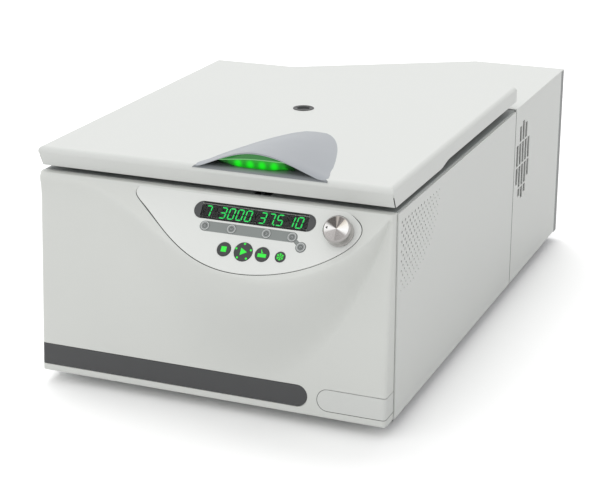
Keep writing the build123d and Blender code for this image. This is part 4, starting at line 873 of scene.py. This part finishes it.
# The knob's profile, from the middle of its dished face over the bevel and the grooved skirt to its bore.
face_out = 14.0
skirt = knob_radius
bevel = 1.9
bore, bore_end = 3.3, 9.0
knob_profile = [(0.0, face_out - 0.6), (skirt * 0.45, face_out - 0.45), (skirt - 2.4, face_out - 0.1),
                (skirt - bevel, face_out), (skirt - 1.5, face_out - 0.1), (skirt - 0.5, face_out - 1.0),
                (skirt - 0.2, face_out - 1.5), (skirt - 0.1, 3.6), (skirt - 0.45, 3.4), (skirt - 0.45, 2.9),
                (skirt, 2.7), (skirt, 1.0), (skirt - 0.4, 0.65), (bore, 0.65), (bore, bore_end),
                (0.0, bore_end)]
knob = lathe("turned_knob", knob_profile, knob_place, turned_metal, steps=120, smooth=25)
# The bevel and the skirt are polished plain, without the painted reflection's sectors.
polished = surface("polished aluminium", "#b9b6b4", 0.22, grain=0.5, depth=0.002,
                   metallic=1.0, mottle=0.02, patch=8)
knob.data.materials.append(polished)
for face in knob.data.polygons:
    middle = to_panel @ face.center
    away = math.hypot(middle.x / mm - knob_x, middle.y / mm - knob_y)
    face.material_index = 1 if away > skirt - bevel - 0.05 else 0
carry(knob, "knob", "speed_knob", "speed_knob")
# Paint in the mark's engraving: black and half matt.
black_fill = surface("black paint fill", "#202121", 0.5, mottle=0.05, patch=2)
mark = [(-skirt + 3.0, 0.0), (-skirt + 5.2, -1.5), (-skirt + 5.2, 1.5)]
mark = [(turned(mark, knob_x, knob_y), face_out - 0.5, face_out - 0.12)]
carry(panel_piece("knob_mark", mark, black_fill), "knob", "speed_knob")

# ---------------------------------------------------------------- lid
# A box of folded steel sheet in the casing's coat, closed from below by a pan whose darker grey is painted
# shade, and filled with foam. Its front corners are mitred and left open by a hair, and a sight port sits
# over the rotor.
# The pan and the deck have the rear wall's kind of coat in a lighter grey, still darker than the casing's:
# painted shade in the gap under the lid. The foam is dull, with pores of 1.2 mm.
gap_shade_coat = surface("grey powder coat on the pan", "#a4a8a7", 0.45, grain=1.4, depth=0.014,
                   mottle=0.01, patch=60)
lid_foam = surface("pale expanded foam", "#d9d2bd", 0.9, grain=1.2, depth=0.15, mottle=0.05, patch=12)
dress(coat, "lid_outer")
dress(gap_shade_coat, "lid_inner", "deck_plate")
dress(lid_foam, "lid_foam")
lid_low, lid_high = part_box("lid_outer")
lid_top = lid_high.z / mm
lid_half = lid_high.x / mm

# Black sealant lies in the open mitre at each front corner and follows the flange's slope; its black is
# painted shade in the mitre. It is half matt.
sealant = surface("black sealant", "#2a2b2b", 0.55, mottle=0.05, patch=3)
lid_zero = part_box("lid_handle")[0].y / mm - 2.0     # the lid's front edge, before it is rounded
flange_slope = 11.5 / 22.5
bend = 11.0                     # below this the lid's rounding has run out
groove_half, groove_top, groove_floor = 0.52, 0.40, 0.98
foot_z = lid_low.z / mm + 0.1
for side_name, hand in (("left", -1), ("right", 1)):
    away = Vector((hand, -1.0, 0.0)).normalized()
    ends = [Vector((hand * lid_half, lid_zero + (lid_top - z) * flange_slope, z))
            for z in (lid_top - bend, foot_z)]
    side = (ends[1] - ends[0]).cross(away).normalized()
    corners = [(place + side * across - away * depth) * mm for place in ends
               for across, depth in rectangle(-groove_half, groove_top, groove_half, groove_floor)]
    sides = [(0, 1, 2, 3), (7, 6, 5, 4)] + [(k, k + 4, (k + 1) % 4 + 4, (k + 1) % 4) for k in range(4)]
    carry(shape("mitre_sealant_" + side_name, corners, sides, sealant), "lid", "lid_outer")

# The port: a black moulded plug, half matt, with a rolled rim, a dished ring and a sunk dark window.
port_black = surface("black moulded plastic", "#3c3d3d", 0.42, grain=0.8, depth=0.008, mottle=0.03, patch=6)
port_low, port_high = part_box("lid_port")
port_x = (port_low.x + port_high.x) / 2 / mm
port_y = (port_low.y + port_high.y) / 2 / mm
port_radius = (port_high.x - port_low.x) / 2 / mm
port_tube = 9.0
port_place = Matrix.Translation((port_x * mm, port_y * mm, 0))
port_foot = port_low.z / mm
rim = lid_top + 0.8
window_sunk = 2.4               # the window below the rim
flange_foot = lid_top + 0.02
port_profile = [(0.0, rim - window_sunk), (port_tube - 2.2, rim - window_sunk),
                (port_tube - 1.4, rim - 0.5), (port_tube - 0.8, rim - 0.25), (port_radius - 1.4, rim - 0.2),
                (port_radius - 0.9, rim), (port_radius - 0.3, rim - 0.15), (port_radius, rim - 0.5),
                (port_radius, flange_foot), (port_tube, flange_foot), (port_tube, port_foot),
                (0.0, port_foot)]
carry(lathe("sight_port", port_profile, port_place, port_black, steps=72), "lid", "lid_port", "lid_port")

# ---------------------------------------------------------------- lid handle
# A hollow moulded canopy, clipped on the lid's front edge, that runs out on its top. Fingers go in
# under its arched lip. The inside and the skin that covers the lid's edge are a darker grey: painted shade.
# Moulded ABS with a silver tint: half matt, with a grain of 0.9 mm. The recess is duller, and its darker
# grey is painted shade under the canopy.
handle_grey = surface("silver grey moulded ABS", "#a4a8ad", 0.40, grain=0.9, depth=0.008,
                      mottle=0.006, patch=60)
recess_painted_shade = surface("mid grey moulded ABS", "#868a8d", 0.5, grain=0.9, depth=0.010, mottle=0.01, patch=40)
grip = nodes["lid_handle"]
dress(handle_grey, "lid_handle")
grip.data.materials.append(recess_painted_shade)
bpy.context.view_layer.update()
# A face is in the recess, and takes the painted shade, if something lies over it, if it looks down, or if
# it lies below the lid's top.
for face in grip.data.polygons:
    start = face.center + face.normal * (0.05 * mm)
    covered = grip.ray_cast(start, Vector((0, 0, 1)))[0]
    low = face.center.z < lid_top * mm - 0.4 * mm
    face.material_index = 1 if covered or face.normal.z < -0.2 or low else 0

# ---------------------------------------------------------------- signal lamp
# A green translucent lens that fills the middle of the handle's mouth, with four green lamps behind it
# on a small board. Each lamp makes a bright round patch that fades towards the lens's ends.
lens_low, lens_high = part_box("signal_lens")
lens_middle = (lens_low.x + lens_high.x) / 2 / mm
lens_half = (lens_high.x - lens_low.x) / 2 / mm
handle_low, handle_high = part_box("lid_handle")
canopy_ridge, canopy_rise, canopy_wall = 52.5, 20.4, 1.5
canopy_left = canopy_ridge - handle_low.x / mm
canopy_right = handle_high.x / mm - canopy_ridge
canopy_swell = 1.3
lamp_pitch, lamp_count, lamp_middle = 13.2, 4, 52.0
lens_back, lens_foot, lens_nose = 18.8, 10.5, 2.6      # places behind the lid's front edge


def canopy_bell(x):
    """The canopy's height over the lid at a place across, as a share of its highest."""
    reach = canopy_left if x < canopy_ridge else canopy_right
    return math.cos(math.pi / 2 * min(abs(x - canopy_ridge) / reach, 1.0)) ** canopy_swell


def lens_line(x):
    """One upright line over the lens, from its back over the brow and ridge to its foot, as (y, z)."""
    low = lid_top + 1.0
    full = 1.0 - ((x - lens_middle) / (lens_half + 1.0)) ** 2      # 1 in the lens's middle, 0 at its ends
    high = max(lid_top + (canopy_rise - canopy_wall) * canopy_bell(x) - canopy_wall * 0.4 - 0.5, low + 1.2)
    ridge = max(high - 5.0 * full, low + 1.0)
    nose = lid_zero + lens_nose + 5.4 * (1.0 - full)
    foot = low + (ridge - low) * (1.0 - full) ** 2
    back, front = lid_zero + lens_back, lid_zero + lens_foot
    under_y, under_z = nose + 0.25, ridge - 0.45
    line = [(back, low), (back, high - 0.6), (nose + 2.2, high - 0.1), (nose + 1.5, high - 0.25),
            (nose + 0.5, ridge + (high - ridge) * 0.35), (nose + 0.12, ridge + 0.5), (nose, ridge),
            (under_y, under_z)]
    for i in range(1, 9):
        t = i / 8
        sag = 0.9 * math.sin(math.pi * t) * full
        line.append((under_y + (front - under_y) * t - sag, under_z + (foot - under_z) * t))
    return line


corners, sides = [], []
steps = 72
for i in range(steps + 1):
    x = lens_middle + (lens_half - 0.15) * (2 * i / steps - 1)
    corners += [(x * mm, y * mm, z * mm) for y, z in lens_line(x)]
count = len(corners) // (steps + 1)
for i in range(steps):
    for k in range(count):
        a, b = i * count + k, i * count + (k + 1) % count
        sides.append((a, b, b + count, a + count))
sides += [tuple(reversed(range(count))), tuple(range(steps * count, (steps + 1) * count))]

# Translucent green acrylic: glossy and deep green, with the lamps' light showing as round patches.
# The light leans with the face, so the patches stand upright to someone at the controls.
lens_green, tree, shader = blank("translucent green acrylic")
place = add(tree, "ShaderNodeTexCoord").outputs["Object"]
axes = add(tree, "ShaderNodeSeparateXYZ", {0: place})
face_middle = (lid_zero + 6.5) * mm
patch_lean, patch_middle, patch_tall, patch_narrow = 0.38, 6.4, 9.0, 1.7
row_start = (lamp_middle - lamp_pitch * lamp_count / 2) * mm
deep = add(tree, "ShaderNodeMath", {0: axes.outputs[1], 1: face_middle}, operation="SUBTRACT").outputs[0]
cell = add(tree, "ShaderNodeMath", {0: deep, 1: patch_lean, 2: axes.outputs[0]},
           operation="MULTIPLY_ADD").outputs[0]
# Every lamp has a cell of its own across the lens. Both measures start in the middle of its patch.
for operation, value in (("SUBTRACT", row_start), ("DIVIDE", lamp_pitch * mm), ("FRACT", 0.0),
                         ("SUBTRACT", 0.5), ("MULTIPLY", patch_narrow)):
    cell = add(tree, "ShaderNodeMath", {0: cell, 1: value}, operation=operation).outputs[0]
tall = axes.outputs[2]
for operation, value in (("SUBTRACT", (lid_top + patch_middle) * mm), ("DIVIDE", patch_tall * mm)):
    tall = add(tree, "ShaderNodeMath", {0: tall, 1: value}, operation=operation).outputs[0]
far = add(tree, "ShaderNodeCombineXYZ", {0: cell, 1: tall})
far = add(tree, "ShaderNodeVectorMath", {0: far.outputs[0]}, operation="LENGTH")
spot = add(tree, "ShaderNodeMapRange", {"Value": far.outputs["Value"], "From Min": 0.15, "From Max": 0.8,
                                        "To Min": 1.0, "To Max": 0.35}, interpolation_type="SMOOTHSTEP")
reach = axes.outputs[0]
for operation, value in (("SUBTRACT", lamp_middle * mm), ("ABSOLUTE", 0.0)):
    reach = add(tree, "ShaderNodeMath", {0: reach, 1: value}, operation=operation).outputs[0]
fade_start, fade_end = lamp_pitch * 1.75 * mm, 33.0 * mm
fade = add(tree, "ShaderNodeMapRange", {"Value": reach, "From Min": fade_start, "From Max": fade_end,
                                        "To Min": 1.0, "To Max": 0.05}, interpolation_type="SMOOTHSTEP")
shine = add(tree, "ShaderNodeMath", {0: spot.outputs[0], 1: fade.outputs[0]}, operation="MULTIPLY")
tint = add(tree, "ShaderNodeMix", {"Factor": shine.outputs[0], 6: linear("#28562c"), 7: linear("#0c5c16")},
           data_type="RGBA")
tree.links.new(tint.outputs[2], shader.inputs["Base Color"])
shader.inputs["Emission Color"].default_value = linear("#04e404")
power = add(tree, "ShaderNodeMath", {0: shine.outputs[0], 1: 0.95}, operation="MULTIPLY")
tree.links.new(power.outputs[0], shader.inputs["Emission Strength"])
shader.inputs["Roughness"].default_value = 0.25
shader.inputs["IOR"].default_value = 1.49
# The lens's brow and ridge: the same acrylic, thicker, so it only glows a little. The ridge's paler,
# stronger glow is partly the lamps' light and partly a painted highlight along the edge.
brow_green = glow("green acrylic brow", "#46ac50", 0.42, roughness=0.2)
ridge_glow_and_highlight = glow("green acrylic edge", "#8fe08f", 0.62, roughness=0.2)
glass = shape("signal_lens_acrylic", corners, sides, lens_green, smooth=35)
glass.data.materials.append(brow_green)
glass.data.materials.append(ridge_glow_and_highlight)
# Steps 1 to 4 of the upright line lie on the brow, 5 and 6 on the ridge with its painted highlight.
part_of_step = {1: 1, 2: 1, 3: 1, 4: 1, 5: 2, 6: 2}
for index, face in enumerate(glass.data.polygons):
    if index < steps * count:
        face.material_index = part_of_step.get(index % count, 0)
carry(glass, "lid", "signal_lens", "signal_lens")
# Glass-fibre board under green solder mask: half glossy, with a faint grain of 0.7 mm.
board_green = surface("green glass-fibre board", "#2f6b45", 0.45, grain=0.7, depth=0.006,
                      mottle=0.05, patch=10)
dress(board_green, "led_board", "control_board")


# Geometry Nodes: a row of lamps. Its named inputs are the number, the pitch and the size of each lamp.
def input_tree(name, *inputs):
    """An empty node tree with a geometry output and named inputs: (name, kind, value)."""
    tree = bpy.data.node_groups.new(name, "GeometryNodeTree")
    tree.interface.new_socket("Geometry", in_out="INPUT", socket_type="NodeSocketGeometry")
    tree.interface.new_socket("Geometry", in_out="OUTPUT", socket_type="NodeSocketGeometry")
    for title, kind, value in inputs:
        socket = tree.interface.new_socket(title, in_out="INPUT", socket_type="NodeSocket" + kind)
        if value is not None:
            socket.default_value = value
    return tree, add(tree, "NodeGroupInput").outputs


def finish_tree(tree, instances, finish):
    """Close a node tree: instances made real and given their finish."""
    real = add(tree, "GeometryNodeRealizeInstances", {0: instances})
    coated = add(tree, "GeometryNodeSetMaterial", {"Geometry": real.outputs[0]})
    coated.inputs["Material"].default_value = finish
    add(tree, "NodeGroupOutput", {0: coated.outputs[0]})


def grown_mesh(name, tree, values, seed_mesh=None, smooth=None):
    """Run a node tree on an object with the given input values, and keep the result as a plain mesh."""
    thing = bpy.data.objects.new(name, seed_mesh or bpy.data.meshes.new(name))
    scene.collection.objects.link(thing)
    grower = thing.modifiers.new("grower", "NODES")
    grower.node_group = tree
    for item in tree.interface.items_tree:
        if item.item_type == "SOCKET" and item.in_out == "INPUT" and item.name in values:
            grower[item.identifier] = values[item.name]
    finished(thing, smooth)
    return thing


tree, given = input_tree("lamp row", ("count", "Int", 4), ("pitch", "Float", 0.0132),
                         ("lamp size", "Vector", None))
offset = add(tree, "ShaderNodeCombineXYZ", {0: given["pitch"]})
row = add(tree, "GeometryNodeMeshLine", {"Count": given["count"], "Offset": offset.outputs[0]})
body = add(tree, "GeometryNodeMeshCube", {"Size": given["lamp size"]})
placed = add(tree, "GeometryNodeInstanceOnPoints", {"Points": row.outputs[0], "Instance": body.outputs[0]})
# Lamp resin: glossy and smooth, with a pale green cast.
lamp_body = surface("clear lamp resin", "#d9e8c8", 0.25, mottle=0.05, patch=2)
finish_tree(tree, placed.outputs[0], lamp_body)
lamp_box = Vector((5.06, 2.8, 4.06)) * mm
board_low, board_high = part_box("led_board")
values = {"count": lamp_count, "pitch": lamp_pitch * mm, "lamp size": lamp_box}
lamps = grown_mesh("lamp_bodies", tree, values)
row_left = (board_low.x + board_high.x) / 2 - (lamp_count - 1) / 2 * lamp_pitch * mm
lamp_forward = board_low.y + lamp_box.y / 2 - 0.03 * mm
lamps.data.transform(Matrix.Translation((row_left, lamp_forward, lid_top * mm + 7.0 * mm)))
carry(lamps, "lid", "led_board")

# ---------------------------------------------------------------- lid lock
# A black zinc-plated striker hangs from the pan. A ground steel bolt slides through its window from a
# black housing screwed under the deck.
# Glass-filled nylon: black and dull, with a rough skin. Ground steel: bright and fairly sharp in its
# reflections. Black zinc: dark, with a soft metal sheen.
housing_black = surface("black glass-filled nylon", "#333535", 0.5, grain=0.7, depth=0.02,
                        mottle=0.04, patch=8)
ground_steel = surface("ground steel", "#c4c6c8", 0.24, grain=0.5, depth=0.003,
                       metallic=1.0, mottle=0.04, patch=5)
black_zinc = surface("black zinc plate", "#35383a", 0.4, grain=0.8, depth=0.004,
                     metallic=0.6, mottle=0.08, patch=6)
dress(black_zinc, "lock_striker")
dress(ground_steel, "lock_bolt")
dress(housing_black, "lock_housing")

# ---------------------------------------------------------------- centrifuge chamber
# A spun stainless bowl in blocks of foam, with a flattened copper cooling coil round it. A guard ring of
# thick steel stands outside the coil, and a rubber gasket closes the bowl's rim against the lid.
# Brushed steel: soft reflections and a fine grain of 0.6 mm. Drawn copper: reddish, with tarnish patches
# of about 10 mm. Rigid foam: dull yellow, with pores of 1.1 mm. Rubber: black and matt.
stainless = surface("brushed stainless steel", "#bfc1c2", 0.30, grain=0.6, depth=0.004,
                    metallic=1.0, mottle=0.05, patch=20)
copper = surface("drawn copper", "#b87352", 0.30, grain=0.7, depth=0.004,
                 metallic=1.0, mottle=0.10, patch=10)
foam = surface("yellow rigid foam", "#cdbf8e", 0.9, grain=1.1, depth=0.20, mottle=0.08, patch=10)
rubber = surface("black moulded rubber", "#242526", 0.7, grain=0.9, depth=0.020, mottle=0.05, patch=8)
dress(stainless, "chamber_bowl")
dress(copper, "evaporator_coil", "coolant_lines")
dress(foam, "chamber_foam")
dress(rubber, "chamber_gasket", "shaft_boot", "motor_dampers", "feet")

# ---------------------------------------------------------------- rotor and buckets
# A milled aluminium yoke, anodised, clamped on the ground shaft by a nut with a fluted grip. Four
# anodised cups hang on its trunnions, and each holds a plastic rack with bores for butyrometers.
# Anodised aluminium: soft metal reflections under a thin clear or grey skin. Polypropylene: white and
# waxy, with a grain of 0.9 mm.
anodised = surface("clear anodised aluminium", "#a9acaf", 0.34, grain=0.6, depth=0.003,
                   metallic=0.9, mottle=0.04, patch=14)
dark_anodised = surface("grey anodised aluminium", "#6f7478", 0.36, grain=0.6, depth=0.003,
                        metallic=0.8, mottle=0.05, patch=12)
rack_plastic = surface("white polypropylene", "#d9dad4", 0.45, grain=0.9, depth=0.010,
                       mottle=0.02, patch=12)
dress(anodised, "rotor_yoke")
dress(dark_anodised, "rotor_nut")
dress(ground_steel, "drive_shaft")

# Geometry Nodes: a rack with rows of round bores. Its named inputs are its size, the bores' radius and
# pitch and how deep they go.
tree, given = input_tree("bored rack", ("size", "Vector", None), ("bore", "Float", 0.0085),
                         ("pitch x", "Float", 0.02), ("pitch y", "Float", 0.02), ("depth", "Float", 0.05))
block = add(tree, "GeometryNodeMeshCube", {"Size": given["size"]})
grid = add(tree, "GeometryNodeMeshGrid", {"Size X": given["pitch x"], "Size Y": given["pitch y"],
                                          "Vertices X": 2, "Vertices Y": 2})
drill = add(tree, "GeometryNodeMeshCylinder", {"Vertices": 32, "Radius": given["bore"],
                                               "Depth": given["depth"]})
drills = add(tree, "GeometryNodeInstanceOnPoints", {"Points": grid.outputs[0],
                                                    "Instance": drill.outputs[0]})
drills = add(tree, "GeometryNodeRealizeInstances", {0: drills.outputs[0]})
size = add(tree, "ShaderNodeSeparateXYZ", {0: given["size"]})
up = add(tree, "ShaderNodeMath", {0: size.outputs[2], 1: 0.5}, operation="MULTIPLY")
up = add(tree, "ShaderNodeCombineXYZ", {2: up.outputs[0]})
drills = add(tree, "GeometryNodeTransform", {"Geometry": drills.outputs[0], "Translation": up.outputs[0]})
bored = add(tree, "GeometryNodeMeshBoolean", {0: block.outputs[0], 1: drills.outputs[0]},
            operation="DIFFERENCE")
finish_tree(tree, bored.outputs[0], rack_plastic)
bucket_wall, rack_gap = 4.0, 0.4
rack_below = 12.0               # the rack's top below the cup's rim
bore_radius, bore_share = 8.5, 0.47     # and the bores' pitch as a share of the rack's width
for index in range(1, 5):
    cup = "swing_bucket_%d" % index
    dress(dark_anodised, cup)
    low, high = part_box(cup)
    room = (high - low) / mm - Vector((2, 2, 1)) * bucket_wall
    size = Vector((room.x - 2 * rack_gap, room.y - 2 * rack_gap, room.z - rack_below)) * mm
    values = {"size": size, "bore": bore_radius * mm, "pitch x": bore_share * size.x,
              "pitch y": bore_share * size.y, "depth": 1.8 * size.z}
    rack = grown_mesh("tube_rack_%d" % index, tree, values, smooth=30)
    middle = (low + high) / 2
    middle.z = low.z + bucket_wall * mm + size.z / 2 + 0.05 * mm
    rack.data.transform(Matrix.Translation(middle))
    carry(rack, "bucket_%d" % index, cup)

# ---------------------------------------------------------------- drive
# An induction motor in black enamel hangs on rubber dampers from a zinc-plated plate. A boot seals the
# shaft where it enters the bowl. The drive's controller sits on a finned aluminium plate.
# Stoved enamel: black and half glossy, with an orange peel of 1.6 mm.
enamel = surface("black enamel", "#26282a", 0.32, grain=1.6, depth=0.012, mottle=0.04, patch=20)
dress(enamel, "drive_motor", "compressor")
dress(anodised, "drive_controller", "condenser")

# ---------------------------------------------------------------- rear wall
# The rear wall carries the condenser's fan behind slots, the mains inlet and the rocker switch. Eight
# pan-head screws hold it, each with a cross recess.
dress(housing_black, "fan_frame", "fan_rotor", "mains_inlet")
# Polycarbonate: black and glossy, almost without grain.
rocker_black = surface("glossy black polycarbonate", "#1f2021", 0.22, grain=0.6, depth=0.003,
                       mottle=0.03, patch=6)
dress(rocker_black, "power_rocker")
dress(zinc, "casing_screws")

# The screws' places and the way they face are read from the round end of each head.
form = bmesh.new()
form.from_mesh(nodes["casing_screws"].data)
bmesh.ops.dissolve_limit(form, angle_limit=math.radians(1), verts=form.verts, edges=form.edges)
heads = []
for face in form.faces:
    outward = face.normal.y > 0.3 and abs(face.normal.z) < 0.01 and len(face.verts) > 8
    if outward:
        heads.append((face.calc_center_median(), face.normal.copy()))
form.free()
seeds = bpy.data.meshes.new("screw places")
seeds.from_pydata([tuple(place) for place, facing in heads], [], [])
facings = seeds.attributes.new("facing", "FLOAT_VECTOR", "POINT")
for item, (place, facing) in zip(facings.data, heads):
    item.vector = facing

# Geometry Nodes: a pan head with a cross recess at each point, turned to face outwards. Its named inputs
# are the head's radii and height, and the recess's length, width and depth.
tree, given = input_tree("cross recessed heads", ("low radius", "Float", 0.0034),
                         ("top radius", "Float", 0.0024), ("height", "Float", 0.0018),
                         ("slot", "Vector", None))
head = add(tree, "GeometryNodeMeshCone", {"Vertices": 32, "Radius Bottom": given["low radius"],
                                          "Radius Top": given["top radius"], "Depth": given["height"]})
bar = add(tree, "GeometryNodeMeshCube", {"Size": given["slot"]})
other = add(tree, "GeometryNodeTransform", {"Geometry": bar.outputs[0], "Rotation": (0, 0, math.pi / 2)})
cross = add(tree, "GeometryNodeJoinGeometry")
tree.links.new(bar.outputs[0], cross.inputs[0])
tree.links.new(other.outputs[0], cross.inputs[0])
lift = add(tree, "ShaderNodeCombineXYZ", {2: given["height"]})
cross = add(tree, "GeometryNodeTransform", {"Geometry": cross.outputs[0], "Translation": lift.outputs[0]})
cut = add(tree, "GeometryNodeMeshBoolean", {0: head.outputs[0], 1: cross.outputs[0]},
          operation="DIFFERENCE")
facing = add(tree, "GeometryNodeInputNamedAttribute", data_type="FLOAT_VECTOR")
facing.inputs["Name"].default_value = "facing"
turn = add(tree, "FunctionNodeAlignRotationToVector", {"Vector": facing.outputs[0]}, axis="Z")
placed = add(tree, "GeometryNodeInstanceOnPoints", {"Points": given["Geometry"], "Instance": cut.outputs[0],
                                                   "Rotation": turn.outputs[0]})
finish_tree(tree, placed.outputs[0], zinc)
screw_height = 1.8 * mm
for vert, (place, facing) in zip(seeds.vertices, heads):
    vert.co = place - facing * screw_height
values = {"low radius": 3.4 * mm, "top radius": 2.5 * mm, "height": screw_height,
          "slot": Vector((3.4, 0.8, 2.0)) * mm}
screws = grown_mesh("cross_recessed_screws", tree, values, seeds, smooth=30)
carry(screws, "case", "casing_screws", "casing_screws")
